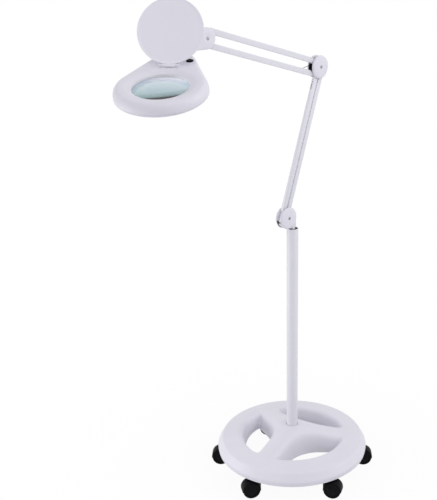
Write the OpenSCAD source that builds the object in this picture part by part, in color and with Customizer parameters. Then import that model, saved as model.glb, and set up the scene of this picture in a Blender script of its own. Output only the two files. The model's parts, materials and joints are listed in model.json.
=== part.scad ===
// Magnifying lamp with a hinged lens lid, on two parallelogram arms, a pole and a weighted base on casters.
// Millimetres, +Z up. The origin is on the floor under the pole. The arms lie in the XZ plane and reach to -X.
// In the arm plane a point is [u, v]: u runs towards the head (-X) and v runs up (+Z).

/* [Base] */
// Radius of the base at its widest line
base_r = 223; // [210:1:240]
// Height of the base's lower edge above the floor
base_bottom_z = 58; // [56:0.5:64]
// Height from the lower edge to the widest line
base_rim_h = 13; // [9:0.5:17]
// Height from the lower edge to the top of the ring
base_ring_h = 39; // [35:0.5:45]
// Height from the top of the ring to the top of the hub
hub_rise = 38; // [28:1:48]
// Radius of the hub's flat top
hub_r = 32; // [28:1:40]
// How far the rim leans in above its widest line
rim_lean = 12; // [8:0.5:16]
// Wall of the base shell
base_wall = 3; // [2:0.25:4]
// Width of the three spokes between the holes
spoke_w = 72; // [64:1:78]
// Outer radius of the three holes
hole_out_r = 150; // [145:1:155]
// Corner radius of the holes at the ring
hole_corner_r = 14; // [10:1:20]
// Radius of the round from spoke to spoke
hole_round_r = 104; // [90:1:110]
// Direction of the first spoke, seen from above
base_turn = -46.5; // [-60:0.5:60]

/* [Weight] */
// Radial width of the cast ring
weight_ring_w = 33; // [24:1:36]
// Height of the cast ring
weight_h = 22; // [18:1:28]
// Width of the cast spokes
weight_spoke_w = 32; // [20:1:36]
// Radius of the six caster bosses
boss_r = 13; // [11:0.5:14]

/* [Casters] */
// Radius of a caster wheel
wheel_r = 25; // [22:0.5:26]
// Width of one caster wheel
wheel_w = 15; // [11:0.5:17]
// Distance from the base's widest line in to the caster stems
caster_inset = 27; // [25:1:33]
// Distance from a caster's stem to its axle
caster_trail = 20; // [16:0.5:24]
// Radius of a caster stem
caster_stem_r = 5.5; // [4:0.25:6]
// Radius of a caster axle
axle_r = 3; // [2:0.25:4]

/* [Pole] */
// Radius of the pole
pole_r = 16.3; // [14:0.1:19]
// Wall of the pole
pole_wall = 1.5; // [1:0.25:2.5]
// Height of the pole's top above the floor
pole_top_z = 750; // [650:5:850]
// Length of the bush in the pole's mouth
bush_len = 60; // [40:1:90]
// Radius of the turning stem in the bush
stem_r = 7; // [5:0.25:9]
// Radius of the cable hole in the gland
gland_bore_r = 3.2; // [2.5:0.1:4]

/* [Arms] */
// Distance of the shoulder's centre from the pole's axis, towards the head
shoulder_u = 25.5; // [22:0.5:27]
// Height of the shoulder's centre above the pole's top
shoulder_rise = 36; // [36:0.5:44]
// Pivot to pivot length of the lower links
lower_len = 428; // [360:1:500]
// Lean of the lower links away from the head
lower_lean = 19.5; // [10:0.5:21]
// Distance between the two lower pivots in one bracket
pair_len = 21; // [21:0.25:23]
// Slope of the line through the two lower pivots
pair_tilt = 15.2; // [10:0.1:18]
// Pivot to pivot length of the upper links
upper_len = 383; // [310:1:440]
// Rise of the upper links towards the head
upper_rise = 15.8; // [5:0.1:30]
// Distance between the two upper pivots in one bracket
upper_gap = 35; // [33:0.5:36]
// Distance of the upper pivots from the elbow's centre
elbow_reach = 19; // [18.5:0.25:20]
// Distance of the upper pivots behind the wrist's centre
wrist_inset = 12; // [10:0.5:13]
// Width of a link tube in the arm plane
tube_w = 14.5; // [12:0.5:14.5]
// Thickness of a link tube across the arm plane
tube_t = 9; // [8:0.25:10]
// Wall of a link tube
tube_wall = 1.2; // [0.8:0.1:1.5]
// Radius of the rounded link ends at the pivots
lug_r = 5; // [4.25:0.25:5]
// Radius of the pivot pins
pin_r = 2.5; // [2:0.1:3]

/* [Covers] */
// Radius of the shoulder and elbow covers
disc_r = 30.5; // [29.5:0.5:33]
// Radius of the wrist covers
wrist_r = 25.5; // [25:0.5:28]
// Length of the straight part of the wrist covers
wrist_len = 32; // [24:1:40]
// Thickness of a cover at its rim
cover_rim = 2.5; // [2:0.25:4]
// Height of a cover's dome
cover_dome = 4; // [3:0.25:6]
// Thickness of the side plates
plate_t = 2; // [1.5:0.25:3]

/* [Head] */
// Distance of the head's swivel axis from the wrist's centre
swivel_reach = 81.5; // [78:0.5:100]
// Height of the tilt axis relative to the wrist's centre
tilt_drop = 5.75; // [4:0.25:7]
// Horizontal distance from the swivel axis to the lens centre
head_reach = 170.6; // [165:0.5:185]
// Height of the lens rim below the tilt axis
lens_drop = 71.9; // [68:0.5:76]
// Turn of the head about the swivel axis
head_yaw = 37.6; // [0:0.5:45]
// Tilt of the head, front down
head_pitch = 16.3; // [12:0.1:20]
// Radius of the head's round front
head_front_r = 103; // [99:0.5:110]
// Radius of the head's rear end
head_rear_r = 53; // [48:0.5:54]
// Distance from the lens centre to the rear end's centre
head_len = 130; // [124:0.5:131]
// Depth of the upper head shell below the lens rim
head_top_h = 18; // [16:0.5:22]
// Depth of the lower head shell
head_low_h = 8.5; // [8:0.5:14]
// Height of the crown round the lens above the lens rim
crown_h = 6; // [4:0.25:8]
// Wall of the head shells
head_wall = 2.5; // [2:0.25:3]
// Radius of the lens
lens_r = 63.5; // [60:0.5:66]
// Thickness of the lens at its edge
lens_edge = 4; // [3:0.25:5]
// Radius of curvature of both lens faces
lens_curve_r = 345; // [320:5:450]

/* [Lid and switch] */
// Radius of the lens lid
lid_r = 75.5; // [72:0.5:78]
// Depth of the lid's rim
lid_rim_h = 1.2; // [0.8:0.1:1.8]
// Angle by which the lid stands open
lid_open = 129; // [115:1:132]
// Distance of the lid's hinge behind the lens centre
hinge_back = 86; // [84:0.5:90]
// Height of the lid's hinge above the crown
hinge_rise = 3.7; // [3.6:0.1:6]
// Radius of the switch button
button_r = 6.5; // [5:0.25:8]
// Travel of the switch button
button_travel = 1.5; // [1:0.25:2]
// Distance of the button behind the lens centre
button_back = 122; // [116:0.5:124]
// Distance of the button from the head's middle line
button_side = 40; // [34:0.5:41]

/* [Hidden] */
$fn = 96;
// Clearances: running fits, seats in one piece's own group, gaps between moving pieces
run_gap = 0.05;
seat_gap = 0.02;
gap = 0.3;
eps = 0.01;

// Base levels and radii
base_rim_z = base_bottom_z + base_rim_h;
base_top_z = base_bottom_z + base_ring_h;
hub_top_z = base_top_z + hub_rise;
crease_r = base_r - rim_lean;
crease_round = 7;
weight_top_z = base_top_z - base_wall;
weight_bottom_z = weight_top_z - weight_h;
weight_out_r = crease_r - crease_round - base_wall - 1;
weight_in_r = weight_out_r - weight_ring_w;
weight_hub_r = hub_r - base_wall - 1;
socket_wall = 2.5;
socket_h = 26;
socket_r = caster_stem_r + socket_wall;
socket_top_z = base_bottom_z + socket_h;
pole_foot_z = weight_bottom_z + 10;
pole_cap_t = 6;
bolt_r = 5;
bolt_head_r = 9;
bolt_head_h = 6;
gland_z = hub_top_z + 30;
gland_dir = 90 + base_turn;
gland_r = gland_bore_r + 2.2;
bush_top_z = pole_top_z - 1;
stem_foot_z = bush_top_z - bush_len + 3;

// Caster circle and levels
caster_ring_r = base_r - caster_inset;
caster_top_z = base_bottom_z - gap;
fender_in_r = wheel_r + 1;
fender_out_r = wheel_r + 3;
web_half = 3.2;
wheel_in = web_half + 0.4;
fender_half = wheel_in + wheel_w - 1;
stem_low_z = wheel_r + sqrt(fender_in_r ^ 2 - (caster_trail - caster_stem_r) ^ 2) + 1;
caster_count = 6;
// Rest direction of each caster's trail, relative to its own spoke direction
caster_rest = [0, -25, -120, 0, -45, 45];

// Points of the arm plane, [u, v]
shoulder_c = [shoulder_u, pole_top_z + shoulder_rise];
pair = pair_len * [cos(pair_tilt), -sin(pair_tilt)];
lower = lower_len * [-sin(lower_lean), cos(lower_lean)];
upper = upper_len * [cos(upper_rise), sin(upper_rise)];
foot_a = shoulder_c + pair;
foot_b = shoulder_c;
top_a = foot_a + lower;
top_b = foot_b + lower;
elbow_c = top_a;
rear_c = elbow_c + [elbow_reach, upper_gap / 2];
rear_d = elbow_c + [elbow_reach, -upper_gap / 2];
front_c = rear_c + upper;
front_d = rear_d + upper;
wrist_c = front_c + [wrist_inset, -upper_gap / 2];
lower_anchor = elbow_c + [-10, 10];
upper_anchor = elbow_c + [6, 12];
elbow_spacer = elbow_c + [-6, 20];

// Stack across the arm plane: links, plates, covers
plate_in = tube_t / 2 + 0.5;
plate_out = plate_in + plate_t;
plate_margin = 1;
cover_top = cover_rim + cover_dome;
screw_head_r = 4;
screw_head_h = 2;
anchor_r = 2;
wire_r = 0.7;
hook_r = anchor_r + wire_r + 0.1;
coil_r = tube_t / 2 - tube_wall - gap;
coil_start = 70;
lower_plug = 28;
upper_plug = 13;
wrist_plug = 7;
plug_len = 20;
lug_t = tube_t;
fork_slot = 3.2;
fork_bridge = 4;
slot_w = 2.4;
slot_from = 40;
slot_to = 62;
block_half = plate_in - gap;
post_half = 9;
rivet_r = 1.6;

// Swivel, tilt axis and lens centre in space
swivel_pos = [-(wrist_c[0] + swivel_reach), 0, 0];
tilt_z = wrist_c[1] - tilt_drop;
lens_z = tilt_z - lens_drop;
lens_pos = swivel_pos + [-head_reach * cos(head_yaw), -head_reach * sin(head_yaw), lens_z];
housing_r = 13;
housing_low_z = tilt_z + 12.5;
housing_top_z = wrist_c[1] + wrist_r - 0.5;
knuckle_r = 6;
cheek_r = 9.5;
cheek_t = 5;
tilt_lug_half = 5;
tilt_pin_r = 3;
// The tilt axis in the head's own frame, where +X runs to the rear and Z = 0 is the lens rim
tilt_x = head_reach * cos(head_pitch) + lens_drop * sin(head_pitch);
tilt_h = -head_reach * sin(head_pitch) + lens_drop * cos(head_pitch);

// Head levels, in the head's own frame
parting = -head_top_h;
low_z = parting - gap - head_low_h;
lip = 6;
open_r = lens_r - 1;
lens_top = -lip - gap;
lens_mid = lens_top - lens_edge / 2;
collar_r = lens_r + 2.8;
dish_r = open_r + 16;
ring_low = lens_top - lens_edge - gap - 3;
floor_in = low_z + head_wall;
low_taper = 12;
window_in = collar_r + 4.5;
window_out = head_front_r - low_taper - head_wall - 10;
window_ribs = 6;
rib_w = 3;
board_t = 1.6;
led_count = 30;
led_h = 1;
diffuser_t = 2;
board_z = floor_in + diffuser_t + led_h + 1;
boss_hole_r = 1.2;
screw_boss_r = 3;
screw_bite = 8;
screw_ring_r = window_out + 3 + gap + screw_boss_r;
screw_spots = concat(
    [for (a = [-160, -84, 84, 160]) screw_ring_r * [cos(a), sin(a)]],
    [for (side = [-1, 1]) [head_len + 12, side * 22]]);

// Lid and switch, in the head's own frame
hinge_z = crown_h + hinge_rise;
hinge_pin_r = 1.5;
barrel_r = 3.2;
barrel_half = 16;
ear_in = barrel_half + gap;
ear_t = 6;
ear_r = 4;
lid_t = 2.5;
lid_top_off = 1.5;
lid_edge_off = 3;
lid_wall = 2.5;
stop_gap = 0.4;
button_proud = 2.5;
button_h = 8;
sleeve_wall = 1.5;
bezel_w = 2.2;
bezel_t = 1.2;

white = [0.93, 0.93, 0.95];
black = [0.06, 0.06, 0.07];
steel = [0.72, 0.73, 0.75];
iron = [0.3, 0.3, 0.32];

// Placing and shared shapes

// A rectangle with true round corners
module round_rect(w, h, r) {
    square([w - 2 * r, h], center = true);
    square([w, h - 2 * r], center = true);
    for (x = [-1, 1], y = [-1, 1])
        translate([x * (w / 2 - r), y * (h / 2 - r)])
            circle(r);
}

// Turns a shape so that its own +Z runs along +Y (side 1) or -Y (side -1) at an arm-plane point
module at_side(p, y, side) {
    translate([-p[0], y, p[1]])
        rotate([-90 * side, 0, 0])
            children();
}

// A round bar across the arm plane
module cross_bar(p, r, y0, y1) {
    at_side(p, y0, 1)
        cylinder(r = r, h = y1 - y0);
}

// Sets a shape on a link: its own Z runs from p to q
module on_link(p, q) {
    translate([-p[0], 0, p[1]])
        rotate([0, atan2(p[0] - q[0], q[1] - p[1]), 0])
            children();
}

// Extrudes an arm-plane outline, drawn relative to p, between y0 and y1
module arm_slab(p, y0, y1) {
    translate([-p[0], y1, p[1]])
        rotate([90, 0, 0])
            linear_extrude(y1 - y0)
                mirror([1, 0])
                    children();
}

// A straight rod between two points in space
module rod(a, b, r) {
    d = b - a;
    translate(a)
        rotate([0, acos(d[2] / norm(d)), atan2(d[1], d[0])])
            cylinder(r = r, h = norm(d), $fn = 24);
}

// A pan-head screw or bolt, its head on +Z
module screw(r, len, head_r, head_h) {
    translate([0, 0, -len])
        cylinder(r = r, h = len + eps);
    cylinder(r = head_r, h = head_h);
}

// Places a shape in the head's own frame
module in_head() {
    translate(lens_pos)
        rotate([0, 0, head_yaw])
            rotate([0, -head_pitch, 0])
                children();
}

// Places a shape in the lid's closed frame, turned open about the hinge
module in_lid() {
    in_head()
        translate([hinge_back, 0, hinge_z])
            rotate([0, lid_open, 0])
                children();
}

// Base

function base_line(t, low) = [
    [0, low],
    [base_r - 3 - t, low],
    [base_r - t, base_rim_z],
    [crease_r - t, base_top_z - crease_round - t],
    [crease_r - crease_round - t, base_top_z - t],
    [hub_r + 4 - t, hub_top_z - 4 - t],
    [hub_r - t, hub_top_z - t],
    [0, hub_top_z - t]];

// Points of an arc in n steps; keep is 1 where its last point is drawn too
function arc(c, r, a0, a1, n, keep) = [
    for (i = [0:n - 1 + keep])
        let (a = a0 + (a1 - a0) * i / n)
            c + r * [cos(a), sin(a)]];

// Outline of a hole along +X between two spokes at 60 degrees, grown by g
function kidney_line(g) = let (
    off = spoke_w / 2 + hole_corner_r,
    along = sqrt((hole_out_r - hole_corner_r) ^ 2 - off ^ 2),
    corner = along * [cos(60), sin(60)] + off * [sin(60), -cos(60)],
    near = [(spoke_w / 2 + hole_round_r) / sin(60), 0],
    far = atan2(corner[1], corner[0]))
    concat(
        arc([0, 0], hole_out_r + g, -far, far, 24, 0),
        arc(corner, hole_corner_r + g, far, 150, 10, 1),
        arc(near, hole_round_r + g, 150, 210, 16, 1),
        arc([corner[0], -corner[1]], hole_corner_r + g, 210, 360 - far, 10, 0));

module kidney(g) {
    linear_extrude(hub_top_z)
        polygon(kidney_line(g));
}

module each_hole() {
    for (k = [0:2])
        rotate([0, 0, base_turn + 60 + 120 * k])
            children();
}

module each_caster() {
    for (k = [0:caster_count - 1])
        rotate([0, 0, base_turn + 60 * k])
            translate([caster_ring_r, 0, 0])
                children();
}

module base_shell() {
    color(white)
        difference() {
            rotate_extrude()
                polygon(base_line(0, base_bottom_z));
            difference() {
                rotate_extrude()
                    polygon(base_line(base_wall, base_bottom_z - 1));
                each_hole()
                    kidney(base_wall);
            }
            each_hole()
                kidney(0);
            cylinder(r = pole_r + seat_gap, h = hub_top_z + 1);
        }
}

module base_weight() {
    color(iron)
        difference() {
            union() {
                translate([0, 0, weight_bottom_z])
                    difference() {
                        cylinder(r = weight_out_r, h = weight_h);
                        translate([0, 0, -1])
                            cylinder(r = weight_in_r, h = weight_h + 2);
                    }
                for (k = [0:2])
                    rotate([0, 0, base_turn + 120 * k])
                        translate([0, -weight_spoke_w / 2, weight_bottom_z + 2])
                            cube([weight_in_r + 6, weight_spoke_w, weight_h - 4]);
                translate([0, 0, weight_bottom_z])
                    cylinder(r = weight_hub_r, h = hub_top_z - base_wall - weight_bottom_z);
                each_caster()
                    translate([0, 0, base_bottom_z])
                        cylinder(r = boss_r, h = socket_h + 1);
            }
            translate([0, 0, pole_foot_z])
                cylinder(r = pole_r + seat_gap, h = hub_top_z);
            cylinder(r = bolt_r + seat_gap, h = hub_top_z);
            each_caster()
                translate([0, 0, base_bottom_z - 1])
                    cylinder(r = socket_r + seat_gap, h = socket_h + 1);
        }
}

module caster_sockets() {
    color(steel)
        each_caster()
            translate([0, 0, base_bottom_z])
                difference() {
                    cylinder(r = socket_r, h = socket_h);
                    translate([0, 0, -1])
                        cylinder(r = caster_stem_r + run_gap, h = socket_h - 1);
                }
}

// Pole

module pole() {
    color(white)
        difference() {
            translate([0, 0, pole_foot_z])
                cylinder(r = pole_r, h = pole_top_z - pole_foot_z);
            translate([0, 0, pole_foot_z + pole_cap_t])
                cylinder(r = pole_r - pole_wall, h = pole_top_z);
            translate([0, 0, pole_foot_z - 1])
                cylinder(r = bolt_r + seat_gap, h = pole_cap_t + 2);
            gland_place()
                cylinder(r = gland_r + seat_gap, h = pole_r);
        }
}

module pole_bolt() {
    color(steel) {
        translate([0, 0, weight_bottom_z])
            rotate([180, 0, 0])
                screw(bolt_r, pole_foot_z + pole_cap_t - weight_bottom_z, bolt_head_r, bolt_head_h);
    }
}

module pole_bush() {
    color(black)
        difference() {
            translate([0, 0, bush_top_z - bush_len])
                cylinder(r = pole_r - pole_wall - seat_gap, h = bush_len);
            cylinder(r = stem_r + run_gap, h = pole_top_z);
        }
}

module gland_place() {
    translate([0, 0, gland_z])
        rotate([0, 90, gland_dir])
            translate([0, 0, pole_r - pole_wall - 2])
                children();
}

module cable_gland() {
    flange_z = pole_wall + 2 + gap;
    color(black)
        gland_place()
            difference() {
                union() {
                    cylinder(r = gland_r, h = flange_z + 1);
                    translate([0, 0, flange_z])
                        cylinder(r = gland_r + 2.4, h = 3);
                }
                translate([0, 0, -1])
                    cylinder(r = gland_bore_r, h = pole_r);
            }
}

// Casters: the hood hangs on its stem and trails its axle along +X of its own frame

module caster_place(k) {
    rotate([0, 0, base_turn + 60 * (k - 1)])
        translate([caster_ring_r, 0, 0])
            rotate([0, 0, caster_rest[k - 1]])
                children();
}

module along_axle(half) {
    translate([caster_trail, half, wheel_r])
        rotate([90, 0, 0])
            linear_extrude(2 * half)
                children();
}

module caster_hood(k) {
    color(black)
        caster_place(k) {
            difference() {
                union() {
                    along_axle(fender_half)
                        intersection() {
                            difference() {
                                circle(fender_out_r);
                                circle(fender_in_r);
                            }
                            translate([-fender_out_r, -3])
                                square([2 * fender_out_r, fender_out_r + 3]);
                        }
                    along_axle(web_half)
                        intersection() {
                            circle(fender_out_r - eps);
                            translate([-fender_out_r, -8])
                                square([2 * fender_out_r, fender_out_r + 8]);
                        }
                    difference() {
                        translate([0, 0, wheel_r + 8])
                            cylinder(r = caster_stem_r + 6, h = caster_top_z - wheel_r - 8);
                        along_axle(fender_half + 5)
                            circle(fender_in_r);
                    }
                    translate([0, -web_half, wheel_r - 3])
                        cube([caster_trail, 2 * web_half, 14]);
                }
                along_axle(fender_half)
                    circle(axle_r + run_gap);
                translate([0, 0, stem_low_z])
                    cylinder(r = caster_stem_r + seat_gap, h = caster_top_z);
            }
            translate([0, 0, stem_low_z + gap])
                cylinder(r = caster_stem_r, h = socket_top_z - 2 - 2 * gap - stem_low_z);
        }
}

module caster_wheels(k) {
    half = wheel_in + wheel_w;
    bevel = 2;
    color(black)
        caster_place(k) {
            for (side = [-1, 1])
                translate([caster_trail, side * wheel_in, wheel_r])
                    rotate([-90 * side, 0, 0])
                        rotate_extrude()
                            polygon([[axle_r + seat_gap, 0], [wheel_r - bevel, 0], [wheel_r, bevel],
                                     [wheel_r, wheel_w - bevel], [wheel_r - bevel, wheel_w],
                                     [wheel_r - 6, wheel_w], [wheel_r - 8, wheel_w - 2],
                                     [axle_r + seat_gap, wheel_w - 2]]);
            along_axle(half - 2)
                circle(axle_r);
        }
}

// Brackets: a pair of black plates with pins, between two domed covers

module plate_pair(c, pins) {
    color(black)
        for (side = [-1, 1])
            difference() {
                at_side(c, side * plate_in, side)
                    cylinder(r = disc_r - plate_margin, h = plate_t);
                for (p = pins)
                    cross_bar(p, pin_r + seat_gap, -2 * plate_out, 2 * plate_out);
            }
}

module disc_cover(c, side) {
    cap_r = (disc_r ^ 2 + cover_dome ^ 2) / (2 * cover_dome);
    color(white)
        at_side(c, side * plate_out, side)
            difference() {
                intersection() {
                    cylinder(r = disc_r, h = cover_top + 1);
                    translate([0, 0, cover_top - cap_r])
                        sphere(cap_r, $fn = 200);
                }
                difference() {
                    translate([0, 0, -1])
                        cylinder(r = disc_r - 2, h = cover_rim);
                    translate([0, 0, -2])
                        cylinder(r = screw_head_r + 3, h = cover_top);
                }
                translate([0, 0, -1])
                    cylinder(r = pin_r + seat_gap, h = cover_top + 2);
                translate([0, 0, cover_top - screw_head_h])
                    cylinder(r = screw_head_r + gap, h = cover_top);
            }
}

// The long centre screw that carries both covers
module centre_screw(c) {
    reach = plate_out + cover_top - screw_head_h;
    cross_bar(c, pin_r, -reach, reach);
    for (side = [-1, 1])
        at_side(c, side * (reach - eps), side)
            difference() {
                cylinder(r = screw_head_r, h = screw_head_h - 0.4);
                translate([0, 0, 0.6])
                    cylinder(r = 1.5, h = 2, $fn = 6);
            }
}

module short_pins(pins) {
    for (p = pins)
        cross_bar(p, pin_r, -plate_out, plate_out);
}

module shoulder_post() {
    segment_r = disc_r - plate_margin - 1;
    segment_top = -(pair_len * sin(pair_tilt) + lug_r + 1.8);
    bar_low = pole_top_z + 2 - shoulder_c[1];
    color(white)
        union() {
            translate([0, 0, stem_foot_z])
                cylinder(r = stem_r, h = pole_top_z + 4 - stem_foot_z);
            difference() {
                arm_slab(shoulder_c, -block_half, block_half) {
                    intersection() {
                        circle(segment_r);
                        translate([-segment_r, -segment_r])
                            square([2 * segment_r, segment_r + segment_top]);
                    }
                    translate([-shoulder_u - post_half, bar_low])
                        square([2 * post_half, segment_top - bar_low]);
                }
                for (p = post_rivets())
                    cross_bar(p, rivet_r + seat_gap, -plate_out, plate_out);
            }
        }
}

function post_rivets() = [shoulder_c + [-14, -20], shoulder_c + [8, -21]];

module shoulder_plates() {
    color(black)
        difference() {
            plate_pair(shoulder_c, [foot_a, foot_b]);
            for (p = post_rivets())
                cross_bar(p, rivet_r + seat_gap, -2 * plate_out, 2 * plate_out);
        }
}

module shoulder_cover_front() disc_cover(shoulder_c, -1);
module shoulder_cover_rear() disc_cover(shoulder_c, 1);

module shoulder_pins() {
    color(steel) {
        centre_screw(foot_b);
        short_pins([foot_a]);
        for (p = post_rivets())
            cross_bar(p, rivet_r, -plate_out, plate_out);
    }
}

module elbow_plates() plate_pair(elbow_c, [top_a, top_b, rear_c, rear_d, lower_anchor, upper_anchor,
                                           elbow_spacer]);

module elbow_cover_front() disc_cover(elbow_c, -1);
module elbow_cover_rear() disc_cover(elbow_c, 1);

module elbow_pins() {
    color(steel) {
        centre_screw(top_a);
        short_pins([top_b, rear_c, rear_d]);
        for (p = [lower_anchor, upper_anchor]) {
            cross_bar(p, anchor_r, -plate_in, plate_in);
            for (side = [-1, 1])
                cross_bar(p, pin_r, min(side * plate_in, side * plate_out), max(side * plate_in, side * plate_out));
        }
        short_pins([elbow_spacer]);
        difference() {
            cross_bar(elbow_spacer, pin_r + 2, -plate_in, plate_in);
            cross_bar(elbow_spacer, pin_r + seat_gap, -plate_out, plate_out);
        }
    }
}

// Links: a rounded tube with a lug plugged into each end

module link_tube(p, q, plug_p, plug_q, slots) {
    len = norm(q - p);
    color(white)
        on_link(p, q)
            difference() {
                translate([0, 0, plug_p])
                    linear_extrude(len - plug_p - plug_q)
                        difference() {
                            round_rect(tube_w, tube_t, 2);
                            round_rect(tube_w - 2 * tube_wall, tube_t - 2 * tube_wall, 1);
                        }
                for (s = slots)
                    translate([s[0] * tube_w / 2, 0, s[1] < 0 ? len + s[1] : s[1]])
                        translate([-tube_wall - 1, -slot_w / 2, 0])
                            cube([2 * tube_wall + 2, slot_w, slot_to - slot_from]);
            }
}

module lug(plug, forked) {
    difference() {
        union() {
            rotate([90, 0, 0])
                cylinder(r = lug_r, h = lug_t, center = true);
            translate([-lug_r, -lug_t / 2, 0])
                cube([2 * lug_r, lug_t, plug]);
            translate([0, 0, plug - eps])
                linear_extrude(plug_len)
                    round_rect(tube_w - 2 * tube_wall - 2 * run_gap, tube_t - 2 * tube_wall - 2 * run_gap, 1);
        }
        rotate([90, 0, 0])
            cylinder(r = pin_r + run_gap, h = 2 * lug_t, center = true);
        if (forked) {
            translate([-tube_w, -fork_slot / 2, -2 * lug_r])
                cube([2 * tube_w, fork_slot, 2 * lug_r + plug + plug_len - fork_bridge]);
            cylinder(r = wire_r + 0.4, h = plug + plug_len + 1);
        }
    }
}

module link_ends(p, q, plug_p, plug_q, forked_q) {
    color(white) {
        on_link(p, q)
            lug(plug_p, false);
        on_link(q, p)
            lug(plug_q, forked_q);
    }
}

module lower_tube_a() link_tube(foot_a, top_a, lower_plug, lower_plug, [[-1, -slot_to]]);
module lower_tube_b() link_tube(foot_b, top_b, lower_plug, lower_plug, []);
module lower_ends_a() link_ends(foot_a, top_a, lower_plug, lower_plug, true);
module lower_ends_b() link_ends(foot_b, top_b, lower_plug, lower_plug, false);
module upper_tube_c() link_tube(rear_c, front_c, wrist_plug, wrist_plug, []);
module upper_tube_d() link_tube(rear_d, front_d, upper_plug, wrist_plug, [[1, slot_from]]);
module upper_ends_c() link_ends(rear_c, front_c, wrist_plug, wrist_plug, false);
module upper_ends_d() link_ends(rear_d, front_d, upper_plug, wrist_plug, false);

// A closed-coil spring in a tube, with a wire to its anchor pin on the elbow
module spring(p, q, plug_q, bend, anchor) {
    from = on_axis(p, q, coil_start + 2);
    hook = [-anchor[0], 0, anchor[1]];
    back = (bend - hook) / norm(bend - hook);
    color(iron)
        union() {
            on_link(p, q)
                translate([0, 0, coil_start])
                    cylinder(r = coil_r, h = norm(q - p) - coil_start - plug_q - plug_len - gap);
            rod(from, bend, wire_r);
            rod(bend, hook + back * hook_r, wire_r);
            translate(bend)
                sphere(wire_r + 0.2, $fn = 24);
            difference() {
                cross_bar(anchor, hook_r + wire_r, -wire_r - 0.1, wire_r + 0.1);
                cross_bar(anchor, hook_r - wire_r, -2 * wire_r, 2 * wire_r);
            }
        }
}

function on_axis(p, q, z) = let (d = (q - p) / norm(q - p)) [-(p + d * z)[0], 0, (p + d * z)[1]];

module lower_spring() spring(top_a, foot_a, lower_plug, on_axis(top_a, foot_a, lower_plug + plug_len - fork_bridge),
                             lower_anchor);

module upper_spring() spring(rear_d, front_d, wrist_plug,
                             on_axis(rear_d, front_d, slot_to - 4), upper_anchor);

// Wrist: plates, long covers and the block that carries the head's swivel

module wrist_outline(r) {
    circle(r);
    translate([wrist_len, 0])
        circle(r);
    translate([0, -r])
        square([wrist_len, 2 * r]);
}

function wrist_screws() = [wrist_c, wrist_c + [wrist_len, -8]];

module wrist_plates() {
    color(black)
        for (side = [-1, 1])
            difference() {
                arm_slab(wrist_c, min(side * plate_in, side * plate_out), max(side * plate_in, side * plate_out))
                    wrist_outline(wrist_r - plate_margin);
                for (p = concat([front_c, front_d], wrist_screws()))
                    cross_bar(p, pin_r + seat_gap, -2 * plate_out, 2 * plate_out);
            }
}

module wrist_cover(side) {
    low = plate_out;
    step = plate_out + cover_rim + 1;
    high = plate_out + cover_top;
    color(white)
        difference() {
            union() {
                arm_slab(wrist_c, min(side * low, side * step), max(side * low, side * step))
                    wrist_outline(wrist_r);
                arm_slab(wrist_c, min(side * low, side * high), max(side * low, side * high))
                    wrist_outline(wrist_r - 2.5);
            }
            cross_bar(wrist_c, pin_r + seat_gap, -2 * high, 2 * high);
            at_side(wrist_c, side * (high - screw_head_h), side)
                cylinder(r = screw_head_r + gap, h = high);
        }
}

module wrist_cover_front() wrist_cover(-1);
module wrist_cover_rear() wrist_cover(1);

module wrist_pins() {
    color(steel) {
        centre_screw(wrist_c);
        short_pins([front_c, front_d, wrist_screws()[1]]);
    }
}

module wrist_block() {
    low = housing_low_z - wrist_c[1];
    high = housing_top_z - wrist_c[1];
    inner_low = -(wrist_r - plate_margin - 4);
    color(white)
        difference() {
            union() {
                arm_slab(wrist_c, -block_half, block_half)
                    polygon([[-6, -8], [4, inner_low], [wrist_len, inner_low],
                             [wrist_len + wrist_r - 6, low], [swivel_reach, low], [swivel_reach, high],
                             [4, high], [-6, 8]]);
                translate(swivel_pos + [0, 0, housing_low_z])
                    cylinder(r = housing_r, h = housing_top_z - housing_low_z);
            }
            for (p = wrist_screws())
                cross_bar(p, pin_r + seat_gap, -2 * block_half, 2 * block_half);
            translate(swivel_pos)
                cylinder(r = knuckle_r + run_gap, h = housing_top_z + 1);
        }
}

// Head knuckle: a stud in the wrist block, with two cheeks round the head's lug

module knuckle_place() {
    translate(swivel_pos + [0, 0, tilt_z])
        rotate([0, 0, head_yaw])
            children();
}

module head_knuckle() {
    bridge_low = cheek_r + 0.6;
    bridge_top = housing_low_z - tilt_z - gap;
    inner = tilt_lug_half + gap;
    stud_top = housing_top_z - tilt_z + gap;
    color(white)
        knuckle_place()
            difference() {
                union() {
                    for (side = [-1, 1])
                        translate([0, side * (inner + cheek_t / 2), 0]) {
                            rotate([90, 0, 0])
                                cylinder(r = cheek_r, h = cheek_t, center = true);
                            translate([-cheek_r, -cheek_t / 2, 0])
                                cube([2 * cheek_r, cheek_t, bridge_top]);
                        }
                    translate([-cheek_r, -inner - cheek_t, bridge_low])
                        cube([2 * cheek_r, 2 * (inner + cheek_t), bridge_top - bridge_low]);
                    translate([0, 0, bridge_low])
                        cylinder(r = knuckle_r, h = stud_top - bridge_low);
                    translate([0, 0, stud_top - eps])
                        cylinder(r = knuckle_r + 4, h = 3);
                }
                rotate([90, 0, 0])
                    cylinder(r = tilt_pin_r + seat_gap, h = 60, center = true);
            }
}

module tilt_pin() {
    reach = tilt_lug_half + gap + cheek_t;
    color(steel)
        knuckle_place()
            rotate([90, 0, 0]) {
                cylinder(r = tilt_pin_r, h = 2 * reach, center = true);
                for (side = [0, 1])
                    mirror([0, 0, side])
                        translate([0, 0, reach + gap])
                            cylinder(r = tilt_pin_r + 2.5, h = 2.5);
                cylinder(r = tilt_pin_r - 0.5, h = 2 * (reach + 1), center = true);
            }
}

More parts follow.
